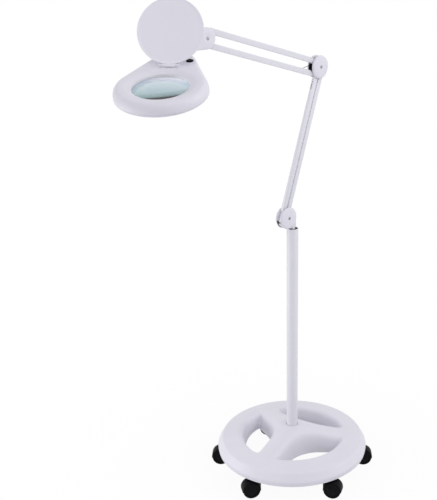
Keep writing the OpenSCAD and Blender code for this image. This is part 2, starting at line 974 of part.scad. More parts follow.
module head_lug() {
    foot_from = head_len - 8;
    foot_to = head_len + 26;
    foot_half = 12;
    foot_t = 3;
    color(white)
        in_head()
            difference() {
                union() {
                    translate([foot_from, -foot_half, crown_h])
                        cube([foot_to - foot_from, 2 * foot_half, foot_t]);
                    translate([0, tilt_lug_half, 0])
                        rotate([90, 0, 0])
                            linear_extrude(2 * tilt_lug_half) {
                                translate([tilt_x, tilt_h])
                                    circle(cheek_r - 1);
                                polygon([[foot_from + 4, crown_h + foot_t - eps], [foot_to, crown_h + foot_t - eps],
                                         [tilt_x, tilt_h - cheek_r + 1], [tilt_x, tilt_h + cheek_r - 1]]);
                            }
                }
                translate([tilt_x, 0, tilt_h])
                    rotate([90, 0, 0])
                        cylinder(r = tilt_pin_r + run_gap, h = 60, center = true);
            }
}

// Head shells. The outline is a round front and a smaller round rear, joined by their tangents.

module head_outline(inset) {
    r1 = head_front_r - inset;
    r2 = head_rear_r - inset;
    turn = acos((r1 - r2) / head_len);
    circle(r1);
    translate([head_len, 0])
        circle(r2);
    polygon([for (s = [1, -1], e = s > 0 ? [0, 1] : [1, 0])
        e == 0 ? r1 * [cos(turn), s * sin(turn)] : [head_len + r2 * cos(turn), s * r2 * sin(turn)]]);
}

module head_slice(inset, z, h) {
    translate([0, 0, z])
        linear_extrude(h)
            head_outline(inset, $fn = 64);
}

module head_top() {
    color(white)
        in_head()
            difference() {
                union() {
                    difference() {
                        hull() {
                            head_slice(0, parting, head_top_h - 8);
                            head_slice(2.5, -3, 1);
                            head_slice(9, crown_h - 1, 1);
                        }
                        hull() {
                            head_slice(head_wall, parting - 1, head_top_h - 8);
                            head_slice(9 + head_wall, crown_h - head_wall - 1, 1);
                        }
                    }
                    translate([0, 0, parting])
                        cylinder(r = collar_r, h = head_top_h);
                    translate([0, 0, -lip])
                        cylinder(r1 = collar_r, r2 = dish_r + head_wall, h = lip + crown_h - eps);
                    for (p = screw_spots)
                        translate([p[0], p[1], parting])
                            cylinder(r = screw_boss_r, h = head_top_h + crown_h - head_wall + eps);
                    hinge_ears();
                }
                for (p = screw_spots)
                    translate([p[0], p[1], parting - 1])
                        cylinder(r = boss_hole_r + seat_gap, h = screw_bite + 2);
                translate([0, 0, parting - 1])
                    cylinder(r = lens_r + seat_gap, h = head_top_h + 1 - lip);
                cylinder(r = open_r, h = 60, center = true);
                cylinder(r1 = open_r, r2 = dish_r, h = crown_h + eps);
                translate([hinge_back, 0, hinge_z])
                    rotate([90, 0, 0])
                        cylinder(r = hinge_pin_r + seat_gap, h = 100, center = true);
                translate([button_back, -button_side, -head_top_h])
                    cylinder(r = button_r + sleeve_wall + seat_gap, h = 60);
            }
}

// Two ears carry the lid's pin, and their rear ramps stop the open lid
module hinge_ears() {
    along = [-cos(lid_open), sin(lid_open)];
    behind = [along[1], -along[0]];
    face = (lid_top_off + stop_gap) * behind;
    high = face + 15 * along;
    for (side = [0, 1])
        mirror([0, side, 0])
            translate([hinge_back, ear_in + ear_t, hinge_z])
                rotate([90, 0, 0])
                    linear_extrude(ear_t) {
                        circle(ear_r);
                        polygon([[-ear_r, -hinge_rise - 1], [-ear_r, 0], face, high,
                                 [high[0], -hinge_rise - 1]]);
                    }
}

module head_bottom() {
    color(white)
        in_head()
            difference() {
                union() {
                    difference() {
                        hull() {
                            head_slice(0.5, parting - gap - 1, 1);
                            head_slice(low_taper, low_z, 1);
                        }
                        hull() {
                            head_slice(0.5 + head_wall, parting - gap, 1);
                            head_slice(low_taper + head_wall, floor_in, 1);
                        }
                    }
                    translate([0, 0, low_z])
                        cylinder(r = collar_r, h = head_low_h);
                    for (p = screw_spots)
                        translate([p[0], p[1], low_z])
                            cylinder(r = screw_boss_r, h = head_low_h);
                }
                cylinder(r = lens_r, h = 200, center = true);
                difference() {
                    ring_band(window_in, window_out, low_z - 1, head_wall + 1 + eps);
                    for (k = [0:window_ribs - 1])
                        rotate([0, 0, 360 / window_ribs * (k + 0.5)])
                            translate([0, -rib_w / 2, low_z])
                                cube([window_out + rib_w, rib_w, head_wall + 1]);
                }
                for (p = screw_spots)
                    translate([p[0], p[1], low_z - 1])
                        cylinder(r = boss_hole_r + seat_gap, h = head_low_h + 2);
            }
}

module ring_band(r1, r2, z, h) {
    translate([0, 0, z])
        difference() {
            cylinder(r = r2, h = h);
            translate([0, 0, -1])
                cylinder(r = r1, h = h + 2);
        }
}

module lens() {
    bulge = sqrt(lens_curve_r ^ 2 - (open_r - 0.2) ^ 2);
    color([0.7, 0.85, 0.85, 0.5])
        in_head()
            union() {
                translate([0, 0, lens_mid - lens_edge / 2])
                    cylinder(r = lens_r, h = lens_edge);
                intersection() {
                    translate([0, 0, lens_mid + lens_edge / 2 - bulge])
                        sphere(lens_curve_r, $fn = 300);
                    translate([0, 0, lens_mid - lens_edge / 2 + bulge])
                        sphere(lens_curve_r, $fn = 300);
                    translate([0, 0, lens_mid - 30])
                        cylinder(r = open_r - 0.2, h = 60);
                }
            }
}

module lens_ring() {
    color(white)
        in_head()
            ring_band(open_r, lens_r - run_gap, ring_low, 3);
}

module led_board() {
    color([0.92, 0.93, 0.9])
        in_head()
            ring_band(collar_r + seat_gap, window_out + 2, board_z, board_t);
}

module leds() {
    spot_r = (window_in + window_out) / 2;
    color([0.95, 0.9, 0.55])
        in_head()
            for (k = [0:led_count - 1])
                rotate([0, 0, 360 / led_count * k])
                    translate([spot_r - 1.75, -1.4, board_z - led_h])
                        cube([3.5, 2.8, led_h]);
}

module diffuser() {
    color([0.95, 0.95, 0.95])
        in_head()
            ring_band(collar_r + seat_gap, window_out + 3, floor_in, diffuser_t);
}

module driver() {
    color([0.25, 0.35, 0.3])
        in_head()
            translate([head_len - 30, -20, floor_in])
                cube([36, 40, 9]);
}

module head_screws() {
    color(steel)
        in_head()
            for (p = screw_spots)
                translate([p[0], p[1], low_z])
                    rotate([180, 0, 0])
                        screw(boss_hole_r, head_low_h + gap + screw_bite, 2.8, 1.4);
}

module lid_pin() {
    color(steel)
        in_head()
            translate([hinge_back, 0, hinge_z])
                rotate([90, 0, 0])
                    cylinder(r = hinge_pin_r, h = 2 * (ear_in + ear_t), center = true);
}

// The lid, drawn closed with the hinge axis at its origin
module lid() {
    centre = -lid_edge_off - lid_r;
    top = lid_top_off;
    color(white)
        in_lid()
            difference() {
                union() {
                    translate([centre, 0, top - lid_t])
                        cylinder(r = lid_r, h = lid_t);
                    translate([centre, 0, 0])
                        ring_band(lid_r - lid_wall, lid_r, top - lid_t - lid_rim_h, lid_rim_h + eps);
                    rotate([90, 0, 0])
                        cylinder(r = barrel_r, h = 2 * barrel_half, center = true);
                    translate([-lid_edge_off - 8, -barrel_half, top - lid_t])
                        cube([lid_edge_off + 8, 2 * barrel_half, lid_t]);
                }
                rotate([90, 0, 0])
                    cylinder(r = hinge_pin_r + run_gap, h = 100, center = true);
            }
}

module switch_place() {
    in_head()
        translate([button_back, -button_side, crown_h])
            children();
}

module switch_button() {
    color(black)
        switch_place()
            translate([0, 0, button_proud - button_h])
                cylinder(r = button_r, h = button_h);
}

module switch_body() {
    well = button_h - button_proud + button_travel + gap;
    color(black)
        switch_place()
            difference() {
                union() {
                    translate([0, 0, -well - 3])
                        cylinder(r = button_r + sleeve_wall, h = well + 3 + eps);
                    cylinder(r = button_r + bezel_w, h = bezel_t);
                }
                translate([0, 0, -well])
                    cylinder(r = button_r + gap, h = well + bezel_t + 1);
            }
}

base_shell();
base_weight();
caster_sockets();
pole();
pole_bolt();
pole_bush();
cable_gland();
shoulder_post();
shoulder_plates();
shoulder_cover_front();
shoulder_cover_rear();
shoulder_pins();
lower_tube_a();
lower_ends_a();
lower_tube_b();
lower_ends_b();
lower_spring();
elbow_plates();
elbow_cover_front();
elbow_cover_rear();
elbow_pins();
upper_tube_c();
upper_ends_c();
upper_tube_d();
upper_ends_d();
upper_spring();
wrist_plates();
wrist_cover_front();
wrist_cover_rear();
wrist_pins();
wrist_block();
head_knuckle();
tilt_pin();
head_lug();
head_top();
head_bottom();
lens();
lens_ring();
led_board();
leds();
diffuser();
driver();
head_screws();
lid_pin();
switch_body();
switch_button();
lid();
for (k = [1:caster_count]) {
    caster_hood(k);
    caster_wheels(k);
}
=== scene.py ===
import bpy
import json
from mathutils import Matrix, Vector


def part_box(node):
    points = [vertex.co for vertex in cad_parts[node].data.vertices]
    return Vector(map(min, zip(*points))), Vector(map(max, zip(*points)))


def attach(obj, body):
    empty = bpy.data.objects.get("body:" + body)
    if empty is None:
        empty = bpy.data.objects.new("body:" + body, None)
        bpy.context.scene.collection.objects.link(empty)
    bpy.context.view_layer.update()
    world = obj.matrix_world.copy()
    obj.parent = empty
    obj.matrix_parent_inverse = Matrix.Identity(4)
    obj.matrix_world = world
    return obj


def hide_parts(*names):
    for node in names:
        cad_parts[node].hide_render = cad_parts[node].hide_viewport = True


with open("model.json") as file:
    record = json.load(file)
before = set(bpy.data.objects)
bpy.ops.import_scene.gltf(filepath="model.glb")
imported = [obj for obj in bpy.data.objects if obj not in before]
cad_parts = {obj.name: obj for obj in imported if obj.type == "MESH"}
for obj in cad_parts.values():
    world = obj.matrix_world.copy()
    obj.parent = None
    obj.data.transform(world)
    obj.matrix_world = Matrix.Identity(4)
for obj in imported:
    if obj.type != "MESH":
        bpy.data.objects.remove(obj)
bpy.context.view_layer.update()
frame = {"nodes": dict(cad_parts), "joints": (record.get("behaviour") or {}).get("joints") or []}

import json
import math

import bmesh
import bpy
from bpy.props import FloatProperty, FloatVectorProperty, IntProperty, PointerProperty
from mathutils import Matrix, Vector

bl_info = {
    "name": "Magnifying lamp",
    "version": (1, 0, 0),
    "blender": (4, 5, 0),
    "location": "View3D > Sidebar > Lamp",
    "description": "Dresses the lamp's CAD frame with moulded, painted and ground pieces",
    "category": "Object",
}

# Lengths are written in millimetres and turned to metres by MM
MM = 0.001
# Points closer than this, in metres, are one point
MERGE_GAP = 1e-6
NODES = frame["nodes"]
JOINTS = {joint["name"]: joint for joint in frame["joints"]}


def srgb(text):
    """A colour written as a hex value, turned to linear light."""
    parts = [int(text[k:k + 2], 16) / 255 for k in (1, 3, 5)]
    return tuple(c / 12.92 if c <= 0.04045 else ((c + 0.055) / 1.055) ** 2.4 for c in parts)


def joint_point(name):
    return Vector(JOINTS[name]["pos_m"])


def shift(x, y, z):
    """A move, in millimetres."""
    return Matrix.Translation(Vector((x, y, z)) * MM)


def rotation(degrees, axis):
    return Matrix.Rotation(math.radians(degrees), 4, axis)


def ray(angle):
    """The unit vector in that direction of the XY plane."""
    return Vector((math.cos(angle), math.sin(angle)))


# Sizes and colours that a user would change

def length_of(title, description, size):
    """A property that holds a length, given in millimetres."""
    return FloatProperty(name=title, description=description, default=size * MM, unit="LENGTH")


def colour_of(title, description, text):
    """A property that holds a colour, given as a hex value."""
    return FloatVectorProperty(name=title, description=description, default=srgb(text), subtype="COLOR")


class LampSizes(bpy.types.PropertyGroup):
    cover_radius: length_of("Cover radius", "Radius of the round arm covers", 30.5)
    cover_height: length_of("Cover height", "Height of an arm cover above its plate", 6.5)
    wrist_radius: length_of("Wrist radius", "Radius of the long wrist covers", 25.5)
    wrist_length: length_of("Wrist length", "Straight length of the wrist covers", 32)
    pole_radius: length_of("Pole radius", "Outer radius of the pole", 16.3)
    wheel_radius: length_of("Wheel radius", "Radius of a caster wheel", 25)
    lid_radius: length_of("Lid radius", "Radius of the lens lid", 75.5)
    lens_radius: length_of("Lens radius", "Radius of the magnifying lens", 63.5)
    lens_curve: length_of("Lens curve", "Radius of curvature of both lens faces", 800)
    smooth_steps: IntProperty(
        name="Turning steps", description="Steps round the pole, its bush and the arm covers",
        default=96, min=24, max=192)


class LampColours(bpy.types.PropertyGroup):
    white_moulding: colour_of("White moulding", "Colour of the moulded covers and shells", "#E6E4EC")
    # The lid and the lens collar are the same white plastic as the rest; this lighter copy of it is painted
    # light
    painted_light_moulding: colour_of("Pale moulding", "Colour of the lid and the lens collar", "#F1EFF7")
    white_paint: colour_of("White paint", "Colour of the powder-coated pole and tubes", "#E4E3EA")
    black: colour_of("Black", "Colour of the black nylon, paint and switch", "#0D0D10")
    glass: colour_of("Glass", "Tint of the lens", "#CDDAE1")
    floor: colour_of("Floor", "Colour of the studio floor", "#E6E6E8")


# Finishes

def add_node(tree, kind, settings=None, links=None):
    """Adds a shader node, sets its values or properties by name, and links its inputs by name or number."""
    made = tree.nodes.new(kind)
    for name, value in (settings or {}).items():
        if name in made.inputs:
            made.inputs[name].default_value = value
        else:
            setattr(made, name, value)
    for name, source in (links or {}).items():
        tree.links.new(source, made.inputs[name])
    return made


def new_finish(name):
    """A material with a Principled shader on its output; gives the material, its tree and the shader."""
    made = bpy.data.materials.new(name)
    made.use_nodes = True
    tree = made.node_tree
    tree.nodes.clear()
    shader = add_node(tree, "ShaderNodeBsdfPrincipled")
    add_node(tree, "ShaderNodeOutputMaterial", None, {"Surface": shader.outputs["BSDF"]})
    return made, tree, shader


def mottle(tree, spread_mm, low, high, detail=3.0):
    """Noise on Object coordinates with features of that size, mapped to the range low to high."""
    place = add_node(tree, "ShaderNodeTexCoord")
    noise = add_node(tree, "ShaderNodeTexNoise", {"Scale": 1 / (spread_mm * MM), "Detail": detail},
                     {"Vector": place.outputs["Object"]})
    return add_node(tree, "ShaderNodeMapRange",
                    {"From Min": 0.3, "From Max": 0.7, "To Min": low, "To Max": high},
                    {"Value": noise.outputs["Fac"]}).outputs["Result"]


def colour_between(tree, first, second, factor):
    # The Mix node has its colours at inputs 6 and 7 and its colour result at output 2
    mix = add_node(tree, "ShaderNodeMix", {"data_type": "RGBA"}, {0: factor})
    mix.inputs[6].default_value = (*first, 1)
    mix.inputs[7].default_value = (*second, 1)
    return mix.outputs[2]


def grain(tree, shader, spread_mm, depth_mm, detail=2.0):
    """A fine bump of that size and depth."""
    height = mottle(tree, spread_mm, 0.0, 1.0, detail)
    bump = add_node(tree, "ShaderNodeBump", {"Strength": 0.35, "Distance": depth_mm * MM},
                    {"Height": height})
    tree.links.new(bump.outputs["Normal"], shader.inputs["Normal"])


def shade_of(colour, amount):
    return tuple(c * amount for c in colour)


def mottled_finish(name, colours, patch, rough, pits=None, values=None):
    """A finish that wanders between two colours.

    patch is the size and detail of the colour's mottle, rough the size and range of the roughness's.
    pits is the size, depth and detail of the bump, and values holds other inputs of the shader.
    """
    made, tree, shader = new_finish(name)
    size, detail = patch
    colour = colour_between(tree, *colours, mottle(tree, size, 0.0, 1.0, detail))
    tree.links.new(colour, shader.inputs["Base Color"])
    tree.links.new(mottle(tree, *rough), shader.inputs["Roughness"])
    if pits:
        grain(tree, shader, *pits)
    for title, value in (values or {}).items():
        shader.inputs[title].default_value = value
    return made


def grade_ahead(tree, shader, stops):
    """Grades the colour along the lens by stops of place and colour, from its rear (0) to its front (1)."""
    ahead = add_node(tree, "ShaderNodeAttribute", {"attribute_name": "ahead"})
    tint = add_node(tree, "ShaderNodeValToRGB", None, {"Fac": ahead.outputs["Fac"]})
    ramp = tint.color_ramp.elements
    for end, (place, colour) in ((ramp[0], stops[0]), (ramp[1], stops[-1])):
        end.position = place
        end.color = (*colour, 1)
    for place, colour in stops[1:-1]:
        ramp.new(place).color = (*colour, 1)
    tree.links.new(tint.outputs["Color"], shader.inputs["Base Color"])


def moulded_abs(colour):
    """Moulded ABS: an even satin white with the faint flow marks of a large moulding."""
    # The spark-eroded grain is about 0.3 mm, drawn at 2 mm so that it shows
    return mottled_finish("moulded_abs", (colour, shade_of(colour, 0.975)), (70, 3.0), (9, 0.46, 0.56),
                          (2.0, 0.03), {"IOR": 1.53})


def lit_collar(colour):
    """The moulding of the lens collar in the lighter white, with a weak painted glow that stands in for the
    light that the lens gathers on it.
    """
    made = moulded_abs(colour)
    made.name = "moulded_abs_painted_light"
    shader = made.node_tree.nodes["Principled BSDF"]
    # Painted glow: an emission for the light that the lens focuses on the collar
    shader.inputs["Emission Color"].default_value = (0.93, 0.95, 1.0, 1)
    shader.inputs["Emission Strength"].default_value = 0.18
    return made


def powder_coat(colour):
    """Powder coat on steel tube: smoother than the mouldings, with a shallow orange peel."""
    # Orange peel of about 1 mm, drawn at 3 mm so that it shows
    return mottled_finish("powder_coat", (colour, shade_of(colour, 0.985)), (40, 3.0), (6, 0.38, 0.46),
                          (3.0, 0.003), {"IOR": 1.5, "Coat Weight": 0.12, "Coat Roughness": 0.3})


def black_enamel(colour):
    """Semi-matt black enamel on stamped plate."""
    return mottled_finish("black_enamel", (colour, shade_of(colour, 1.7)), (12, 3.0), (4, 0.35, 0.5),
                          (1.5, 0.04))


def black_nylon(colour):
    """Glass-filled nylon: matt black with a fine moulded grain and paler scuffs."""
    return mottled_finish("black_nylon", (colour, shade_of(colour, 2.2)), (5, 6.0), (3, 0.38, 0.55),
                          (1.2, 0.05, 4.0), {"Specular IOR Level": 0.06})


def tread_rubber(colour):
    """Polyurethane tread: black, duller than the nylon, with dust worn into it."""
    return mottled_finish("tread_rubber", (shade_of(colour, 0.9), srgb("#1B1A1A")), (4, 8.0), (2.5, 0.6, 0.8),
                          (0.9, 0.08, 5.0), {"Specular IOR Level": 0.05})


def zinc_plate():
    """Zinc-plated steel: a cool bright metal with a drawn grain and duller spots."""
    return mottled_finish("zinc_plate", (srgb("#A9ABB0"), srgb("#85878D")), (3, 5.0), (1.5, 0.28, 0.45),
                          (0.6, 0.02), {"Metallic": 1.0})


def spring_steel():
    """Oil-blued spring wire: nearly black, with a dull metal sheen."""
    return mottled_finish("blued_spring_wire", (srgb("#2B2B30"), srgb("#3E3D42")), (4, 4.0), (2, 0.35, 0.5),
                          (0.8, 0.02), {"Metallic": 0.7})


def cast_iron():
    """Raw sand casting: dark grey and grainy."""
    return mottled_finish("sand_cast_iron", (srgb("#3A3A3D"), srgb("#4B4846")), (8, 8.0), (3, 0.6, 0.8),
                          (1.6, 0.25, 6.0), {"Metallic": 0.6})


def ground_glass(colour):
    """Crown glass, ground and polished, with a painted reflection: near white at the rear for the bright
    surroundings mirrored there, its own tint in the middle, and teal in front for the green edge seen inside
    it.
    """
    made, tree, shader = new_finish("crown_glass_painted_reflection")
    # Painted reflection: near white at the rear, then the glass's tint, then teal in front
    grade_ahead(tree, shader, [(0.06, srgb("#FAFBFD")), (0.24, colour), (1.0, srgb("#88ADB0"))])
    shader.inputs["Roughness"].default_value = 0.0
    shader.inputs["IOR"].default_value = 1.52
    shader.inputs["Transmission Weight"].default_value = 1.0
    return made


def lens_edge():
    """The lens's ground edge: rough, and graded as painted shade from light grey at the rear to dark green in
    front, for the deep glass that the front is seen through.
    """
    made, tree, shader = new_finish("ground_lens_edge_painted_shade")
    # Painted shade: darker green towards the front
    grade_ahead(tree, shader, [(0.15, srgb("#C4CFD2")), (0.6, srgb("#3E5C59"))])
    tree.links.new(mottle(tree, 1.5, 0.35, 0.55), shader.inputs["Roughness"])
    grain(tree, shader, 0.8, 0.03)
    return made


def solder_mask():
    """White solder mask on a circuit board, slightly uneven over the copper."""
    return mottled_finish("solder_mask", (srgb("#E8EAE4"), srgb("#D5D9D0")), (5, 5.0), (3, 0.35, 0.5),
                          (2.0, 0.03))


def phosphor():
    """Yellow phosphor in clear silicone."""
    return mottled_finish("led_phosphor", (srgb("#F0DF7A"), srgb("#E6CF5C")), (1.0, 3.0), (0.8, 0.2, 0.3))


def frosted_acrylic():
    """Frosted acrylic: white, rough and part translucent."""
    return mottled_finish("frosted_acrylic", (srgb("#F2F2F0"), srgb("#E6E7E6")), (20, 3.0), (3, 0.45, 0.6),
                          (1.2, 0.04), {"Transmission Weight": 0.3})


FINISHES = {}


def make_finishes(colours):
    white, lit_white = tuple(colours.white_moulding), tuple(colours.painted_light_moulding)
    paint, black, glass = tuple(colours.white_paint), tuple(colours.black), tuple(colours.glass)
    # The second white is the first one painted lighter, and the collar's finish adds a painted glow
    FINISHES.update({
        "white_plastic": moulded_abs(white), "painted_light_plastic": moulded_abs(lit_white),
        "collar_plastic_painted_light": lit_collar(lit_white), "white_paint": powder_coat(paint),
        "black_paint": black_enamel(black), "black_plastic": black_nylon(black),
        "caster_plastic": black_nylon(black), "caster_rubber": tread_rubber(black),
        "steel": zinc_plate(), "spring_steel": spring_steel(), "cast_iron": cast_iron(),
        "lens_glass": ground_glass(glass), "lens_edge": lens_edge(), "board": solder_mask(),
        "led": phosphor(), "diffuser": frosted_acrylic()})


# Modelling

def clear_selection():
    if bpy.context.object and bpy.context.object.mode != "OBJECT":
        bpy.ops.object.mode_set(mode="OBJECT")
    bpy.ops.object.select_all(action="DESELECT")


def take_hold(piece):
    """Makes a piece the only selected and active one."""
    clear_selection()
    piece.select_set(True)
    bpy.context.view_layer.objects.active = piece


def edit_all():
    bpy.ops.object.mode_set(mode="EDIT")
    bpy.ops.mesh.select_all(action="SELECT")


def close_up():
    """Merges doubles and turns the faces outwards, then goes back to object mode."""
    bpy.ops.mesh.select_all(action="SELECT")
    bpy.ops.mesh.remove_doubles(threshold=MERGE_GAP)
    bpy.ops.mesh.normals_make_consistent(inside=False)
    bpy.ops.object.mode_set(mode="OBJECT")


def turned(profile, steps):
    """A piece turned about Z from a profile of (radius, height) in millimetres."""
    clear_selection()
    bpy.ops.mesh.primitive_plane_add(size=MM)
    piece = bpy.context.object
    edit_all()
    bpy.ops.mesh.merge(type="CENTER")
    at = Vector((profile[0][0], 0, profile[0][1])) * MM
    bpy.ops.transform.translate(value=at)
    for radius, height in profile[1:]:
        place = Vector((radius, 0, height)) * MM
        bpy.ops.mesh.extrude_region_move(TRANSFORM_OT_translate={"value": place - at})
        at = place
    bpy.ops.mesh.select_all(action="SELECT")
    bpy.ops.mesh.spin(steps=steps, angle=2 * math.pi, center=(0, 0, 0), axis=(0, 0, 1))
    close_up()
    return piece


def lofted(rings):
    """A skin over closed rings of points in millimetres, from a grid whose rows are laid on them."""
    clear_selection()
    count = len(rings[0])
    bpy.ops.mesh.primitive_grid_add(x_subdivisions=count, y_subdivisions=len(rings) - 1)
    piece = bpy.context.object
    for row, ring in enumerate(rings):
        for column in range(count + 1):
            piece.data.vertices[row * (count + 1) + column].co = Vector(ring[column % count]) * MM
    edit_all()
    close_up()
    return piece


def slab(outline, low, high):
    """A prism over an outline of (x, y) in millimetres, between two heights."""
    clear_selection()
    bpy.ops.mesh.primitive_circle_add(vertices=len(outline), fill_type="NGON")
    piece = bpy.context.object
    for vertex, (x, y) in zip(piece.data.vertices, outline):
        vertex.co = Vector((x, y, low)) * MM
    edit_all()
    bpy.ops.mesh.extrude_region_move(TRANSFORM_OT_translate={"value": (0, 0, (high - low) * MM)})
    close_up()
    return piece


def modify(piece, kind, **settings):
    """Adds a modifier with these settings and applies it."""
    take_hold(piece)
    modifier = piece.modifiers.new(kind, kind)
    for name, value in settings.items():
        setattr(modifier, name, value)
    bpy.ops.object.modifier_apply(modifier=modifier.name)


def round_edges(piece, width, segments=3, angle=35):
    """Rounds a piece's sharp edges."""
    modify(piece, "BEVEL", width=width * MM, segments=segments, limit_method="ANGLE",
           angle_limit=math.radians(angle), use_clamp_overlap=True)
    return piece


def put(piece, matrix):
    """Sets a finished piece in its place and leaves its object at the origin."""
    take_hold(piece)
    piece.matrix_world = matrix
    bpy.ops.object.transform_apply(location=True, rotation=True, scale=True)
    if matrix.determinant() < 0:
        edit_all()
        close_up()
    return piece


def twin(piece):
    """A copy with its own mesh."""
    made = piece.copy()
    made.data = piece.data.copy()
    bpy.context.scene.collection.objects.link(made)
    return made


def joined(pieces):
    clear_selection()
    for piece in pieces:
        piece.select_set(True)
    bpy.context.view_layer.objects.active = pieces[0]
    bpy.ops.object.join()
    return bpy.context.object


def cut(piece, tool):
    """Cuts a piece with a closed tool, which is used up."""
    modify(piece, "BOOLEAN", object=tool, operation="DIFFERENCE", solver="EXACT")
    bpy.data.objects.remove(tool)


def split_finish(piece, first, second, takes_second):
    """Gives a piece two finishes; takes_second tells which faces take the second."""
    for finish in (first, second):
        piece.data.materials.append(FINISHES[finish])
    for face in piece.data.polygons:
        face.material_index = int(takes_second(face))


def dress(piece, name, body, slot, *nodes, angle=38):
    """Names a finished piece, smooths and paints it, and sets it on its body in place of CAD nodes."""
    take_hold(piece)
    piece.name = name
    piece.data.name = name
    bpy.ops.object.shade_smooth_by_angle(angle=math.radians(angle))
    if not piece.data.materials:
        piece.data.materials.append(FINISHES[slot])
    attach(piece, body)
    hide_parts(*nodes)


def soften(node, width, name, body, slot, angle=38):
    """Dresses a copy of a CAD node with merged faces and rounded edges."""
    piece = twin(NODES[node])
    piece.parent = None
    for key in list(piece.keys()):
        del piece[key]
    piece.matrix_world = Matrix.Identity(4)
    piece.data.materials.clear()
    take_hold(piece)
    edit_all()
    bpy.ops.mesh.customdata_custom_splitnormals_clear()
    bpy.ops.mesh.remove_doubles(threshold=2 * MERGE_GAP)
    bpy.ops.mesh.dissolve_limited(angle_limit=math.radians(2))
    bpy.ops.object.mode_set(mode="OBJECT")
    dress(round_edges(piece, width, 2, angle), name, body, slot, node)


def paint_nodes(slot, *names):
    """Gives CAD nodes that keep their shape the finish of their slot."""
    for name in names:
        mesh = NODES[name].data
        mesh.materials.clear()
        mesh.materials.append(FINISHES[slot])


def side_frame(point, side, offset):
    """A frame at a point of the arm plane whose Z runs along +Y (side 1) or -Y (side -1)."""
    return Matrix.Translation(point + Vector((0, side * offset * MM, 0))) @ rotation(-90 * side, "X")


# The two-circle outline of the head and the wrist, about the centre of its first circle

def pear_reach(angle, first, second, length):
    """Distance from the first circle's centre to the outline in that direction."""
    turn = math.acos((first - second) / length)
    bend = math.atan2(second * math.sin(turn), length + second * math.cos(turn))
    angle = abs(math.atan2(math.sin(angle), math.cos(angle)))
    if angle >= turn:
        return first
    if angle >= bend:
        return first / math.cos(turn - angle)
    return length * math.cos(angle) + math.sqrt(second ** 2 - (length * math.sin(angle)) ** 2)


def pear_angles(first, second, length, count):
    """Directions that space the outline's points evenly along it."""
    steps = 2880
    fine = [2 * math.pi * k / steps for k in range(steps + 1)]
    points = [ray(a) * pear_reach(a, first, second, length) for a in fine]
    run = [0.0]
    for k in range(steps):
        run.append(run[-1] + (points[k + 1] - points[k]).length)
    angles, at = [], 0
    for k in range(count):
        target = run[-1] * k / count
        while run[at + 1] < target:
            at += 1
        past, step = target - run[at], run[at + 1] - run[at]
        angles.append(fine[at] + (fine[at + 1] - fine[at]) * past / step)
    return angles


def pear_rings(angles, first, second, length, rows):
    """Rings of the outline, each by its inset and height."""
    return [[(math.cos(a) * r, math.sin(a) * r, height)
             for a in angles for r in [pear_reach(a, first - inset, second - inset, length)]]
            for inset, height in rows]


def round_rings(angles, rows):
    """Round rings, each by its radius and height."""
    return [[(math.cos(a) * radius, math.sin(a) * radius, height) for a in angles] for radius, height in rows]


# Head frame: X to the rear of the lens, Z out of the lens rim

HEAD_PITCH = math.radians(16.3)
HINGE_BACK, HINGE_UP, LID_OPEN = 86, 9.7, 129
HEAD_FRONT, HEAD_REAR, HEAD_LENGTH = 103, 53, 130
SWITCH_BACK, SWITCH_SIDE, CROWN = 122, -40, 6
# The shells' faces within this radius and below this height are the lens collar, which is painted lighter and
# given a painted glow
COLLAR_RADIUS, COLLAR_TOP = 64, -5


def head_frame():
    across = Vector(JOINTS["head_tilt"]["axis"]).normalized()
    level = Vector((across.y, -across.x, 0))
    back = level * math.cos(HEAD_PITCH) + Vector((0, 0, math.sin(HEAD_PITCH)))
    up = back.cross(across)
    made = Matrix((back, across, up)).transposed().to_4x4()
    made.translation = joint_point("lid_hinge") - back * HINGE_BACK * MM - up * HINGE_UP * MM
    return made


class LampOperator:
    bl_options = {"REGISTER"}


